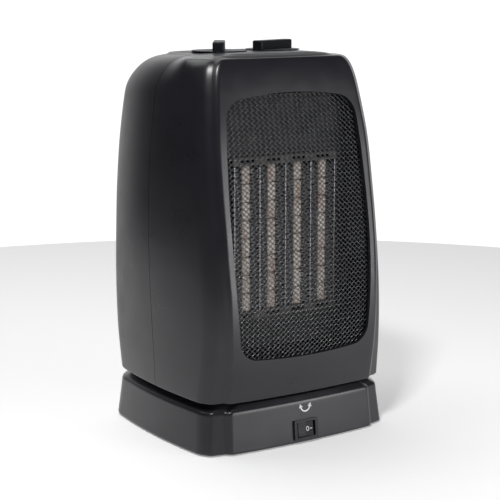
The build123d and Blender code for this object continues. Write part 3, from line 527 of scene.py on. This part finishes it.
def paintedSteel(name, look):
    # baked paint: orange-peel ripple, a fine matt tooth, and thin places where the steel shows
    finish, tree, shader, place = blank(name)
    thin = spread(tree, noise(tree, place, look["wear"], 5, 0.7), 0, 1, 0.62, 0.8)
    cloud = spread(tree, noise(tree, place, look["wear"] * 4, 3), 0, 1)
    paint = blend(tree, cloud, shaded(look["colour"], 0.85), shaded(look["colour"], 1.15))
    tree.links.new(blend(tree, thin, paint, look["steel"]), shader.inputs["Base Color"])
    low, high = look["roughness"]
    satin = spread(tree, noise(tree, place, look["wear"] * 2, 3), low, high)
    tree.links.new(satin, shader.inputs["Roughness"])
    peel = bump(tree, noise(tree, place, 1.6, 1), 0.02)
    tree.links.new(bump(tree, noise(tree, place, 0.25, 2), 0.01, under=peel), shader.inputs["Normal"])
    shader.inputs["Metallic"].default_value = look["metallic"]
    shader.inputs["Specular IOR Level"].default_value = look.get("specular", 0.5)
    return finish


def ceramicStone(name, look):
    # unglazed ceramic: pale body, brown firing tints in bands up the rows, dark specks and a chalky tooth
    finish, tree, shader, place = blank(name)
    tint = spread(tree, noise(tree, place, look["band"], 3, 0.55, (1.4, 1, 0.7)), 0, 0.85, 0.45, 0.72)
    tone = blend(tree, tint, look["colour"], look["tint"])
    speck = spread(tree, noise(tree, place, 0.9, 2), 0, 0.5, 0.66, 0.74)
    tree.links.new(blend(tree, speck, tone, shaded(look["tint"], 0.4)), shader.inputs["Base Color"])
    tree.links.new(spread(tree, noise(tree, place, 3, 3), 0.6, 0.85), shader.inputs["Roughness"])
    tree.links.new(bump(tree, noise(tree, place, 0.4, 4), 0.05), shader.inputs["Normal"])
    return finish


def stackedSheets(name, look):
    # a laminated core: thin dark joints between sheets along Y, and a bluish annealed skin
    finish, tree, shader, place = blank(name)
    waves = {"Vector": place, "Scale": 1000 / look["sheet"] / 6.28, "Distortion": 0.2}
    layers = node(tree, "ShaderNodeTexWave", waves, wave_type="BANDS", bands_direction="Y").outputs["Fac"]
    joint = spread(tree, layers, 1, 0, 0.05, 0.3)
    skin = blend(tree, spread(tree, noise(tree, place, 12, 4), 0, 1), look["colour"], look["blue"])
    tree.links.new(blend(tree, joint, skin, shaded(look["colour"], 0.25)), shader.inputs["Base Color"])
    tree.links.new(spread(tree, noise(tree, place, 2, 3), 0.35, 0.6), shader.inputs["Roughness"])
    tree.links.new(bump(tree, layers, 0.15), shader.inputs["Normal"])
    shader.inputs["Metallic"].default_value = 0.8
    return finish


def softRubber(name, look):
    # black rubber: pale dust in patches, dull, with a fine tooth
    finish, tree, shader, place = blank(name)
    dust = spread(tree, noise(tree, place, 5, 5, 0.7), 0, 0.5, 0.5, 0.75)
    tree.links.new(blend(tree, dust, look["colour"], look["dust"]), shader.inputs["Base Color"])
    tree.links.new(spread(tree, noise(tree, place, 2, 2), 0.7, 0.9), shader.inputs["Roughness"])
    tree.links.new(bump(tree, noise(tree, place, 0.3, 3), 0.04), shader.inputs["Normal"])
    shader.inputs["Specular IOR Level"].default_value = 0.3
    return finish


makers = {"plastic": mouldedPlastic, "metal": sheetMetal, "painted": paintedSteel, "ceramic": ceramicStone,
          "stack": stackedSheets, "rubber": softRubber}
looks = {
    "charcoal_plastic": ("plastic", {
        "colour": (0.0115, 0.0112, 0.015), "roughness": (0.27, 0.34), "grain": 0.45, "depth": 0.012,
        "mottle": 30, "ior": 1.48}),
    "control_plastic": ("plastic", {
        "colour": (0.028, 0.028, 0.034), "roughness": (0.38, 0.48), "grain": 0.4, "depth": 0.01,
        "mottle": 22, "ior": 1.45}),
    "knob_plastic": ("plastic", {
        "colour": (0.007, 0.008, 0.011), "roughness": (0.4, 0.52), "grain": 0.35, "depth": 0.008,
        "mottle": 12, "ior": 1.3}),
    "rocker_plastic": ("plastic", {
        "colour": (0.012, 0.012, 0.014), "roughness": (0.16, 0.26), "grain": 0.9, "depth": 0.004,
        "mottle": 8, "wave": 0.01}),
    "heatproof_plastic": ("plastic", {
        "colour": (0.03, 0.028, 0.027), "roughness": (0.5, 0.62), "grain": 0.6, "depth": 0.03, "mottle": 14}),
    "white_nylon": ("plastic", {
        "colour": (0.66, 0.65, 0.6), "roughness": (0.35, 0.5), "grain": 0.8, "depth": 0.01, "mottle": 10}),
    "black_nylon": ("plastic", {
        "colour": (0.022, 0.022, 0.024), "roughness": (0.42, 0.55), "grain": 0.6, "depth": 0.02,
        "mottle": 14}),
    "dark_mesh": ("painted", {
        "colour": (0.012, 0.012, 0.015), "steel": (0.08, 0.08, 0.085), "roughness": (0.2, 0.32), "wear": 3,
        "metallic": 0.0, "specular": 0.55}),
    "dark_steel": ("painted", {
        "colour": (0.007, 0.007, 0.009), "steel": (0.02, 0.02, 0.021), "roughness": (0.45, 0.6), "wear": 6,
        "metallic": 0.0, "specular": 0.2}),
    "plated_steel": ("metal", {
        "colour": (0.56, 0.56, 0.57), "tarnish": (0.33, 0.32, 0.3), "roughness": (0.25, 0.42), "line": 0.5,
        "stretch": (1, 1, 0.1), "cloud": 6, "depth": 0.01, "metallic": 1.0}),
    "fin_aluminium": ("metal", {
        "colour": (0.22, 0.22, 0.23), "tarnish": (0.1, 0.09, 0.08), "roughness": (0.3, 0.5), "line": 0.4,
        "stretch": (1, 0.1, 1), "cloud": 9, "depth": 0.01, "metallic": 0.9}),
    "bush_bronze": ("metal", {
        "colour": (0.5, 0.33, 0.16), "tarnish": (0.2, 0.12, 0.06), "roughness": (0.4, 0.6), "line": 0.3,
        "stretch": (1, 1, 1), "cloud": 3, "depth": 0.02, "metallic": 1.0}),
    "ceramic": ("ceramic", {"colour": (0.6, 0.55, 0.5), "tint": (0.34, 0.2, 0.14), "band": 14}),
    "laminated_steel": ("stack", {"colour": (0.26, 0.26, 0.27), "blue": (0.16, 0.18, 0.24), "sheet": 0.8}),
    "coil_tape": ("plastic", {
        "colour": (0.45, 0.31, 0.05), "roughness": (0.25, 0.4), "grain": 0.7, "depth": 0.02, "mottle": 6}),
    "foot_rubber": ("rubber", {"colour": (0.02, 0.02, 0.021), "dust": (0.09, 0.085, 0.08)}),
}
finishes = {slot: makers[kind](slot.replace("_", " "), look) for slot, (kind, look) in looks.items()}
for entry in frame["record"]["subparts"]:
    nodeMesh = frame["nodes"][entry["node"]].data
    nodeMesh.materials.clear()
    nodeMesh.materials.append(finishes[entry["material_slot"]])
print("finishes made:", len(finishes))


# front housing
grille = {"bottom": 67.0, "top": 257.0, "half": 61.0, "halfEnd": 56.0, "corner": 12.0, "sill": 3.0,
          "head": 6.0}
housing = {
    "firstRow": 39.6,
    "frontRows": 96,
    "blend": (28, 24),          # columns from the side edge back over which the corner's tighter crown fades
    "patchFirst": 5,            # the opening's patch starts at this row and ends near this height
    "patchTop": 266,
    "patchRows": 12,
    "ledgeRows": 8,
}


def openingSides():
    # the grille opening's four sides: shallow parabolas between its corners, counter-clockwise from the
    # bottom
    low, high = grille["bottom"] + grille["sill"], grille["top"] - grille["head"]
    middle, reach = (low + high) / 2, (high - low) / 2
    x = np.linspace(-grille["halfEnd"], grille["halfEnd"], 60)
    z = np.linspace(low, high, 80)
    across = grille["half"] - (grille["half"] - grille["halfEnd"]) * ((z - middle) / reach) ** 2
    sides = [flat(x, grille["bottom"] + grille["sill"] * (x / x[-1]) ** 2), flat(across, z),
             flat(x, grille["top"] - grille["head"] * (x / x[-1]) ** 2)[::-1], flat(-across, z)[::-1]]
    return cutCorners(sides, grille["corner"])


rowZ, rowInset = towerRows(np.linspace(housing["firstRow"], tower["wallTop"], housing["frontRows"]))
squareInset = np.where(rowZ > tower["wallTop"], frontInset(rowZ), rowInset)
rowSizes = sizesAt(tower["levels"], rowZ, squareInset)
roundPlan = frontHalf(sizesAt(tower["levels"], rowZ, rowInset), body["seamGap"])
squarePlan = frontHalf(rowSizes, body["seamGap"])
fade = np.linspace(housing["blend"][0], 0, body["sideColumns"]) / housing["blend"][1]
square = smoothStep(fade)[None, 1:, None]
square = np.concatenate([np.ones((1, squarePlan.shape[1] - square.shape[1], 1)), square], 1)
right = raised(squarePlan * square + roundPlan * (1 - square), rowZ)
panelX = (rowSizes[2] - body["panelMargin"])[:, None] * np.linspace(-1, 1, body["panelColumns"])
middle = raised(np.stack([panelX, panelY(rowSizes, panelX)], -1), rowZ)
frontGrid = np.concatenate([mirrored(right)[:, :-1], middle, right[:, 1:]], 1)
firstPanel = right.shape[1] - 1
lastPanel = firstPanel + body["panelColumns"] - 1


def towerPanelY(x, z):
    # the tower's front panel at any point
    flatZ = np.ravel(z)
    sizes = sizesAt(tower["levels"], flatZ, frontInset(flatZ))
    return panelY(sizes, np.ravel(x)[:, None]).reshape(np.shape(x))


lowRow, highRow = housing["patchFirst"], int(np.searchsorted(rowZ, housing["patchTop"]))
keep = np.ones((frontGrid.shape[0] - 1, frontGrid.shape[1] - 1), bool)
keep[lowRow:highRow, firstPanel:lastPanel] = False
loop, counts = blockLoop(frontGrid, lowRow, highRow, firstPanel, lastPanel)
opening = matchedLoop(openingSides(), counts)
panelPatch = framePatch(loop[:, [0, 2]], opening, housing["patchRows"], towerPanelY)
frontLedge = np.concatenate([frontGrid[-1:], toLedge(frontGrid[-1], housing["ledgeRows"])])
frontSheets = joined(gridSheet(frontGrid, keep=keep), gridSheet(panelPatch, closeCols=True),
                     gridSheet(frontLedge))
makePiece("frontHousing", frontSheets, "tower", finishes["charcoal_plastic"],
          ["front_housing"], wall=body["wall"], edge=body["rim"])


# rear housing with its louvres
louvres = {"centre": 160.0, "rows": 14, "pitch": 8.0, "cell": 24.0, "core": 18.8, "half": 2.2, "shrink": 0.88,
           "columns": 12, "steps": 4}
lowLouvre = louvres["centre"] - louvres["rows"] * louvres["pitch"] / 2
highLouvre = louvres["centre"] + louvres["rows"] * louvres["pitch"] / 2
walls = np.concatenate([np.linspace(housing["firstRow"], lowLouvre, 28),
                        np.arange(lowLouvre + 2, highLouvre, 2),
                        np.linspace(highLouvre, tower["wallTop"], 17)])
rearZ, rearInset = towerRows(walls)
rearSizes = sizesAt(tower["levels"], rearZ, rearInset)
reach = np.minimum(2 * louvres["cell"], rearSizes[5] - rearTurn(rearSizes) - 1)
half = raised(rearHalf(rearSizes, reach, body["seamGap"]), rearZ)
rearX = reach[:, None] * np.linspace(1, -1, 2 * louvres["columns"] + 1)
rearMiddle = raised(np.stack([rearX, rearY(rearSizes, rearX)], -1), rearZ)
rearGrid = np.concatenate([half[:, :-1], rearMiddle, mirrored(half)[:, 1:]], 1)
firstCell = half.shape[1] - 1
lastCell = firstCell + 2 * louvres["columns"]
lowCell, highCell = (int(np.argmin(abs(rearZ - z))) for z in (lowLouvre, highLouvre))
keep = np.ones((rearGrid.shape[0] - 1, rearGrid.shape[1] - 1), bool)
keep[lowCell:highCell, firstCell:lastCell] = False


def towerRearY(x, z):
    # the tower's back at any point
    sizes = sizesAt(tower["levels"], np.ravel(z), np.zeros(np.size(z)))
    return rearY(sizes, np.ravel(x)[:, None]).reshape(np.shape(x))


# one louvre cell: its rectangle's outline, and a round-ended slot round a core line, for all cells at once
across = np.linspace(-louvres["cell"], louvres["cell"], louvres["columns"] + 1)[:-1]
up = np.linspace(-louvres["pitch"] / 2, louvres["pitch"] / 2, louvres["steps"] + 1)[:-1]
sideX = np.full(louvres["steps"], louvres["cell"])
lidZ = np.full(louvres["columns"], louvres["pitch"] / 2)
edgeX = np.concatenate([across, sideX, -across, -sideX])
edgeZ = np.concatenate([-lidZ, up, lidZ, -up])
core = np.clip(edgeX * louvres["shrink"], -louvres["core"], louvres["core"])
away = np.stack([edgeX - core, edgeZ], -1)
slotEdge = flat(core, 0) + louvres["half"] * away / np.linalg.norm(away, axis=-1, keepdims=True)
cellRows = np.stack([slotEdge, slotEdge * 0.6 + flat(edgeX, edgeZ) * 0.4, flat(edgeX, edgeZ)])
cellX, cellZ = np.meshgrid([-louvres["cell"], louvres["cell"]],
                           lowLouvre + louvres["pitch"] * (np.arange(louvres["rows"]) + 0.5))
cells = cellRows[None] + np.stack([cellX.ravel(), cellZ.ravel()], -1)[:, None, None]
cells = np.stack([cells[..., 0], towerRearY(cells[..., 0], cells[..., 1]), cells[..., 1]], -1)
rearLedge = np.concatenate([rearGrid[-1:], toLedge(rearGrid[-1], housing["ledgeRows"])])
rearSheets = joined(gridSheet(rearGrid, keep=keep), repeatedSheets(cells, closeCols=True),
                    gridSheet(rearLedge))
makePiece("rearHousing", rearSheets, "tower", finishes["charcoal_plastic"],
          ["rear_housing"], wall=body["wall"], edge=body["rim"])


# control panel and knobs
panel = {"half": 45.6, "depth": 38.0, "corner": 12.0, "thickness": 3.2}
knobs = {
    "selector": {"x": -24.0, "turn": 56.0, "body": "selector"},
    "thermostat": {"x": 24.0, "turn": 20.0, "body": "thermostat_dial"},
}
knob = {
    "skirt": 20.5, "low": 284.1, "skirtTop": 284.9, "skirtRounding": 0.5,
    "grip": (40.8, 8.7), "gripCorner": 1.4, "top": 291.5, "rounding": 0.9,
    "straight": 3.0,            # the grip's sides have a row of points this far below its top
    "sunk": 0.4,                # the grip ends this far below the skirt's top
}

outline = roundedRectangle(panel["half"], panel["depth"], panel["corner"], 120)
rings = np.linspace(1, 0, 26)[:, None, None] * outline[None]
panelTop = np.concatenate([rings, topHeight(rings[..., 0], rings[..., 1])[..., None]], -1)
makePiece("controlPanel", gridSheet(panelTop, closeCols=True), "tower",
          finishes["control_plastic"], ["top_panel"], wall=panel["thickness"], edge=0.6)


def turned(profile, count):
    # a profile of (radius, height) carried round the Z axis
    angle = np.linspace(0, 2 * np.pi, count, endpoint=False)
    return np.stack([profile[:, 0:1] * np.cos(angle), profile[:, 0:1] * np.sin(angle),
                     np.repeat(profile[:, 1:2], count, 1)], -1)


def placed(points, x, turn, y=0.0):
    # points turned about Z and moved along X and Y
    c, s = math.cos(math.radians(turn)), math.sin(math.radians(turn))
    return np.stack([c * points[..., 0] - s * points[..., 1] + x, s * points[..., 0] + c * points[..., 1] + y,
                     points[..., 2]], -1)


arc = np.linspace(0, np.pi / 2, 6)
turnIn = knob["skirtRounding"]
skirtRim = [[knob["skirt"] - turnIn + turnIn * math.sin(a), knob["skirtTop"] - turnIn + turnIn * math.cos(a)]
            for a in arc]
skirtFoot = [[knob["skirt"], knob["low"] + 0.1], [knob["skirt"] - 0.2, knob["low"]], [0, knob["low"]]]
skirtLid = [[0, knob["skirtTop"] + 0.1]] + [[r, knob["skirtTop"]] for r in (6, 12, 17)]
skirtProfile = np.array(skirtLid + skirtRim + skirtFoot)
gripOutline = roundedRectangle(knob["grip"][0] / 2, knob["grip"][1] / 2, knob["gripCorner"], 96)
rise = knob["rounding"]
gripGrid = [gripOutline * share for share in (0, 0.4, 0.8)]
gripHeights = [knob["top"]] * 3
for a in arc:
    inward = rise * (1 - math.sin(a))
    gripGrid.append(gripOutline - np.sign(gripOutline) * np.minimum(abs(gripOutline), inward))
    gripHeights.append(knob["top"] - rise * (1 - math.cos(a)))
gripGrid += [gripOutline, gripOutline, gripOutline * 0]
gripHeights += [knob["top"] - knob["straight"]] + [knob["skirtTop"] - knob["sunk"]] * 2
grip = raised(np.stack(gripGrid), np.array(gripHeights))
for label, one in knobs.items():
    skirt = placed(turned(skirtProfile, 96), one["x"], 0)
    makePiece(label + "Knob", joined(gridSheet(skirt, closeCols=True),
                                     gridSheet(placed(grip, one["x"], one["turn"]), closeCols=True)),
              one["body"], finishes["knob_plastic"], [label + "_knob"], sharp=50)


# woven wire grille
weave = {"cell": (4.35, 3.7), "wire": 0.33, "depth": 3.6, "lift": 0.2, "margin": 2.2, "sides": 6, "count": 92,
         "reach": 184}


def insideOpening(x, z, margin):
    # whether points lie inside the opening's outline grown by a margin: a rounded box whose half-width
    # follows the height
    low, high = grille["bottom"] + grille["sill"], grille["top"] - grille["head"]
    middle, reach = (low + high) / 2, (high - low) / 2
    across = grille["half"] - (grille["half"] - grille["halfEnd"]) * ((z - middle) / reach) ** 2 + margin
    head = grille["top"] - grille["head"] * (x / grille["halfEnd"]) ** 2 + margin
    sill = grille["bottom"] + grille["sill"] * (x / grille["halfEnd"]) ** 2 - margin
    corner = grille["corner"] + margin
    dx = np.maximum(abs(x) - (across - corner), 0)
    dz = np.maximum(np.maximum(z - (head - corner), (sill + corner) - z), 0)
    return np.hypot(dx, dz) < corner


def wires(direction):
    # wires along one diagonal: tubes whose middle line rises and falls over the crossings like a sine
    half = np.array(weave["cell"]) / 2
    middleZ = (grille["bottom"] + grille["top"]) / 2
    count, reach = weave["count"], weave["reach"]
    wire = np.arange(-count, count + 1)[:, None]
    station = np.arange(-reach, reach + 1)[None] / 2
    x = (wire + station) * half[0] * np.ones_like(station)
    z = middleZ + direction * (station - wire) * half[1]
    inside = insideOpening(x, z, weave["margin"])
    used = inside.sum(1) > 3
    wire, x, z, inside = wire[used], x[used], z[used], inside[used]
    first, last = inside.argmax(1), inside.shape[1] - 1 - inside[:, ::-1].argmax(1)
    index = np.clip(np.arange(x.shape[1])[None], first[:, None], last[:, None])
    x, z = np.take_along_axis(x, index, 1), np.take_along_axis(z, index, 1)
    station = np.broadcast_to(station, inside.shape)
    over = np.cos(np.pi * (station + wire)) * direction * weave["lift"]
    y = towerPanelY(x, z) + weave["depth"] + np.take_along_axis(over, index, 1)
    columns = np.arange(x.shape[1])[None]
    ended = (columns <= first[:, None]) | (columns >= last[:, None])
    radius = np.where(ended, 0, weave["wire"])
    alongWire = np.array([half[0], 0, direction * half[1]])
    alongWire = alongWire / np.linalg.norm(alongWire)
    across = np.array([alongWire[2], 0, -alongWire[0]])
    turn = np.linspace(0, 2 * np.pi, weave["sides"], endpoint=False)
    ring = np.cos(turn)[:, None] * across + np.sin(turn)[:, None] * np.array([0, 1.0, 0])
    points = np.stack([x, y, z], -1)[:, :, None] + radius[..., None, None] * ring
    verts, faces = repeatedSheets(points, closeCols=True)
    live = (columns[:, :-1] >= first[:, None]) & (columns[:, :-1] < last[:, None])
    return verts, faces[np.repeat(live.ravel(), weave["sides"])]


makePiece("wovenGrille", joined(wires(1), wires(-1)), "tower", finishes["dark_mesh"],
          ["grille_mesh"], sharp=60, outward=False)


# heating element
element = {
    "bottom": 98.0, "top": 205.0, "front": -51.4, "depth": 14.0, "turn": 2.3, "foil": 0.18, "endGap": 0.8,
    "plates": (-44.6, -22.7, 0.0, 22.7, 44.6), "plate": 0.8, "rows": (-34.0, -11.6, 11.6, 34.0), "row": 7.0,
    "stones": 8, "stoneGap": 0.7, "stoneFront": 0.9, "stoneDepth": 12, "sides": 24,
    "bend": 0.94,               # nearer to 1 makes the folds' tips sharper
}


def foldedFoil(left, right):
    # a foil folded to and fro between two walls: a triangle wave up Z with its tips rounded off by a sine
    folds = int((element["top"] - element["bottom"] - 2 * element["endGap"]) / element["turn"])
    t = np.linspace(0, folds, folds * 8 + 1)
    swing = np.arcsin(element["bend"] * np.sin(2 * np.pi * t)) / np.arcsin(element["bend"])
    x = (left + right) / 2 + ((right - left) / 2 - element["foil"]) * swing
    z = element["bottom"] + element["endGap"] + t * element["turn"]
    y = element["front"] + np.array([0, element["depth"]])[:, None]
    return np.stack(np.broadcast_arrays(x[None], y, z[None]), -1)


edges = sorted([x + s * element["plate"] / 2 for x in element["plates"] for s in (-1, 1)]
               + [x + s * element["row"] / 2 for x in element["rows"] for s in (-1, 1)])[1:-1]
foils = joined(*[gridSheet(foldedFoil(left, right)) for left, right in zip(edges[0::2], edges[1::2])])
makePiece("foldedFins", foils, "tower", finishes["fin_aluminium"], ["fin_strips"],
          wall=element["foil"], sharp=60, outward=False)

# each stone: a rounded block, from a superellipse section whose size swells and closes along Y
pitch = (element["top"] - element["bottom"]) / element["stones"]
turn = np.linspace(0, 2 * np.pi, element["sides"], endpoint=False)
stoneSize = np.array([element["row"], pitch - element["stoneGap"]])
section = np.stack([np.cos(turn), np.sin(turn)], -1)
section = np.sign(section) * abs(section) ** 0.25 * stoneSize / 2
sizes = np.array([0, 0.8, 0.94, 1, 1, 0.94, 0])
depths = np.array([0, 0, 0.01, 0.05, 0.95, 1, 1]) * element["stoneDepth"]
depths = np.repeat((element["front"] + element["stoneFront"] + depths)[:, None], element["sides"], 1)
stone = np.stack([section[None, :, 0] * sizes[:, None], depths, section[None, :, 1] * sizes[:, None]], -1)
stoneLevels = element["bottom"] + pitch * (np.arange(element["stones"]) + 0.5)
stoneX, stoneZ = np.meshgrid(element["rows"], stoneLevels)
middles = np.stack([stoneX.ravel(), 0 * stoneX.ravel(), stoneZ.ravel()], -1)
makePiece("ceramicRows", repeatedSheets(stone[None] + middles[:, None, None], closeCols=True), "tower",
          finishes["ceramic"], ["ceramic_stones"], sharp=50, outward=False)


# base
rocker = {"z": 10.6, "hole": (9.75, 6.6), "corner": 0.8, "patchFirst": 3, "patchTop": 20, "patchRows": 8}
wallZ = np.linspace(*base["plainWall"])
plainWall = np.column_stack([0 * wallZ, wallZ])
basePath = np.concatenate([base["foot"], plainWall, smoothPath(base["shoulder"], 26)])
baseInset, baseZ = basePath.T
baseSizes = sizesAt(base["levels"], baseZ, baseInset)
frontRight = raised(frontHalf(baseSizes), baseZ)
rearRight = raised(rearHalf(baseSizes, np.full(len(baseZ), base["rearReach"])), baseZ)
panelX = (baseSizes[2] - body["panelMargin"])[:, None] * np.linspace(-1, 1, body["panelColumns"])
middle = raised(np.stack([panelX, panelY(baseSizes, panelX)], -1), baseZ)
rearX = np.linspace(base["rearReach"], -base["rearReach"], 7)[None] * np.ones((len(baseZ), 1))
rearMiddle = raised(np.stack([rearX, rearY(baseSizes, rearX)], -1), baseZ)
baseGrid = np.concatenate([middle, frontRight[:, 1:], rearRight[:, 1:], rearMiddle[:, 1:],
                           mirrored(rearRight)[:, 1:], mirrored(frontRight)[:, 1:-1]], 1)


def basePanelY(x, z):
    # the base's front panel at any point
    flatZ = np.ravel(z)
    sizes = sizesAt(base["levels"], flatZ, np.zeros(len(flatZ)))
    return panelY(sizes, np.ravel(x)[:, None]).reshape(np.shape(x))


def rectangleSides(half, low, high):
    # a rectangle's four sides, counter-clockwise from the bottom
    x, z = np.linspace(-half, half, 20), np.linspace(low, high, 20)
    return [flat(x, low), flat(half, z), flat(x[::-1], high), flat(-half, z[::-1])]


lastPanel = body["panelColumns"] - 1
lowRow, highRow = rocker["patchFirst"], int(np.searchsorted(baseZ, rocker["patchTop"]))
keep = np.ones((baseGrid.shape[0] - 1, baseGrid.shape[1]), bool)
keep[lowRow:highRow, 0:lastPanel] = False
loop, counts = blockLoop(baseGrid, lowRow, highRow, 0, lastPanel)
half, tall = rocker["hole"]
holeSides = rectangleSides(half, rocker["z"] - tall, rocker["z"] + tall)
hole = matchedLoop(cutCorners(holeSides, rocker["corner"]), counts)
rockerPatch = framePatch(loop[:, [0, 2]], hole, rocker["patchRows"], basePanelY)
bearing = np.arctan2(baseGrid[-1, :, 1], baseGrid[-1, :, 0])
deckEdge = np.stack([np.cos(bearing), np.sin(bearing), 0 * bearing], -1) * base["deckHole"]
deckEdge = deckEdge + [0, 0, base["deck"]]
deck = np.linspace(0, 1, 10)[:, None, None]
deck = baseGrid[-1] * (1 - deck) + deckEdge * deck
baseSheets = joined(gridSheet(baseGrid, closeCols=True, keep=keep), gridSheet(rockerPatch, closeCols=True),
                    gridSheet(deck, closeCols=True))
makePiece("baseShell", baseSheets, "base", finishes["charcoal_plastic"], ["base_shell"],
          wall=base["wall"], edge=base["rim"])


# printed marks
marks = {
    "proud": 0.12,
    "thick": 0.2,
    "arrow": {"x": 0.9, "z": 27.7, "radius": 4.1, "line": 1.1, "head": (3.6, 3.0), "from": 196, "to": 344},
    "button": {"rise": 0.6, "tilt": 16.0, "line": 0.5, "ring": (1.4, 0.9, 1.6), "bar": (4.1, 0.8)},
}
printFinish, tree, shader, place = blank("pale print")
cloud = spread(tree, noise(tree, place, 0.5, 3), 0, 1)
tree.links.new(blend(tree, cloud, (0.62, 0.62, 0.64), (0.8, 0.8, 0.82)), shader.inputs["Base Color"])
tree.links.new(bump(tree, noise(tree, place, 0.3, 2), 0.01), shader.inputs["Normal"])
tree.links.new(spread(tree, noise(tree, place, 0.7, 2), 0.4, 0.6), shader.inputs["Roughness"])


def ribbon(line, width):
    # a flat strip round a line of (x, z): the line moved to both sides along its normals
    run = np.gradient(line, axis=0)
    normal = np.stack([-run[:, 1], run[:, 0]], -1) / np.linalg.norm(run, axis=1, keepdims=True)
    return np.stack([line + normal * width / 2, line - normal * width / 2])


def arrowParts():
    # an arc with a triangular head at each end, pointing along the arc's ends
    one = marks["arrow"]
    angle = np.radians(np.linspace(one["from"], one["to"], 40))
    middle = np.array([one["x"], one["z"]])
    parts = [ribbon(middle + one["radius"] * np.stack([np.cos(angle), np.sin(angle)], -1), one["line"])]
    for a, way in ((angle[0], -1), (angle[-1], 1)):
        end = middle + one["radius"] * np.array([math.cos(a), math.sin(a)])
        ahead = way * np.array([-math.sin(a), math.cos(a)])
        side = np.array([ahead[1], -ahead[0]]) * one["head"][0] / 2
        share = np.linspace(0, 1, 7)[:, None]
        parts.append(np.stack([end - side + (side + ahead * one["head"][1]) * share,
                               end + side + (ahead * one["head"][1] - side) * share]))
    return parts


def onBase(part):
    # a flat (x, z) grid laid just in front of the base's panel
    return np.stack([part[..., 0], basePanelY(part[..., 0], part[..., 1]) - marks["proud"], part[..., 1]], -1)


makePiece("swingMark", joined(*[gridSheet(onBase(part)) for part in arrowParts()]), "base",
          printFinish, wall=marks["thick"], outward=False)


def onButton(part):
    # a flat (along, up) grid laid just in front of the raised half of the rocker button, which leans with
    # the base
    tilt = math.radians(marks["button"]["tilt"])
    front = sizesAt(base["levels"], np.array([rocker["z"]]), np.zeros(1))[3][0] - body["bulge"]
    lower, upper = base["levels"][:2]
    lean = math.atan2(upper[4] - lower[4], upper[0] - lower[0])
    away = marks["button"]["rise"] + part[..., 0] * math.sin(tilt) + marks["proud"]
    y = front - away * math.cos(lean) + part[..., 1] * math.sin(lean)
    z = rocker["z"] + away * math.sin(lean) + part[..., 1] * math.cos(lean)
    return np.stack([part[..., 0] * math.cos(tilt), y, z], -1)


def buttonParts():
    # a flat ring, an ellipse moved in and out by half a line, and a short bar
    one = marks["button"]
    turn = np.linspace(0, 2 * np.pi, 48)
    place, wide, tall = one["ring"]
    ring = np.stack([np.stack([place + (wide + s) * np.cos(turn), (tall + s) * np.sin(turn)], -1)
                     for s in (-one["line"] / 2, one["line"] / 2)])
    place, reach = one["bar"]
    bar = np.stack([np.linspace(place - reach, place + reach, 9), np.zeros(9)], -1)
    return [ring, ribbon(bar, one["line"])]


makePiece("buttonMarks", joined(*[gridSheet(onButton(part)) for part in buttonParts()]), "rocker",
          printFinish, wall=marks["thick"], outward=False)


# floor and light
studio = {
    "floorRadius": 0.8, "floor": (0.92, 0.92, 0.92), "floorGlow": 0.25, "floorSides": 96,
    "back": (0.559, 0.829, 0.0),        # the bright half of the room lies this way
    "dim": 0.05, "bright": 1.1, "turnover": (0.4, 1.0),
    "aim": (0, 0, 0.15),
    "lamps": {                          # place and size in metres, power in watts
        "overhead": {"place": (-0.3, 0.6, 1.5), "size": (1.2, 0.8), "power": 8},
        "rightSoftbox": {"place": (0.75, -1.3, 0.12), "size": (1.0, 0.7), "power": 16},
        "keyLight": {"place": (-0.55, -0.5, 1.1), "size": (0.16, 0.16), "power": 8},
    },
}
angle = np.linspace(0, 2 * np.pi, studio["floorSides"], endpoint=False)
disc = np.stack([np.cos(angle), np.sin(angle), 0 * angle], -1) * studio["floorRadius"]
floorMesh = bpy.data.meshes.new("floor")
floorMesh.from_pydata(disc, [], [list(range(studio["floorSides"]))])
floor = bpy.data.objects.new("floor", floorMesh)
bpy.context.scene.collection.objects.link(floor)
floorFinish, tree, shader, place = blank("pale floor")
shader.inputs["Base Color"].default_value = (*studio["floor"], 1)
shader.inputs["Roughness"].default_value = 0.9
shader.inputs["Emission Color"].default_value = (1, 1, 1, 1)
shader.inputs["Emission Strength"].default_value = studio["floorGlow"]
floorMesh.materials.append(floorFinish)

# the room: bright behind the object, dim in front of it, and plain white to the camera's own rays
world = bpy.data.worlds.new("studio")
world.use_nodes = True
tree = world.node_tree
way = tree.nodes.new("ShaderNodeTexCoord").outputs["Generated"]
facing = node(tree, "ShaderNodeVectorMath", {0: way, 1: studio["back"]}, operation="DOT_PRODUCT")
facing = facing.outputs["Value"]
rangeValues = {"Value": facing, "From Min": studio["turnover"][0], "From Max": studio["turnover"][1],
               "To Min": studio["dim"], "To Max": studio["bright"]}
room = node(tree, "ShaderNodeMapRange", rangeValues, interpolation_type="SMOOTHSTEP").outputs["Result"]
seen = tree.nodes.new("ShaderNodeLightPath").outputs["Is Camera Ray"]
backdrop = tree.nodes["Background"]
brighter = node(tree, "ShaderNodeMath", {0: room, 1: seen}, operation="MAXIMUM").outputs[0]
tree.links.new(brighter, backdrop.inputs["Strength"])
backdrop.inputs["Color"].default_value = (1, 1, 1, 1)
bpy.context.scene.world = world

for name, one in studio["lamps"].items():
    lampData = bpy.data.lights.new(name, "AREA")
    lampData.shape = "RECTANGLE"
    lampData.size, lampData.size_y = one["size"]
    lampData.energy = one["power"]
    lamp = bpy.data.objects.new(name, lampData)
    lamp.location = one["place"]
    aim = mathutils.Vector(studio["aim"]) - lamp.location
    lamp.rotation_euler = aim.to_track_quat("-Z", "Y").to_euler()
    bpy.context.scene.collection.objects.link(lamp)
bpy.context.scene.view_settings.view_transform = "Standard"
print("studio made")
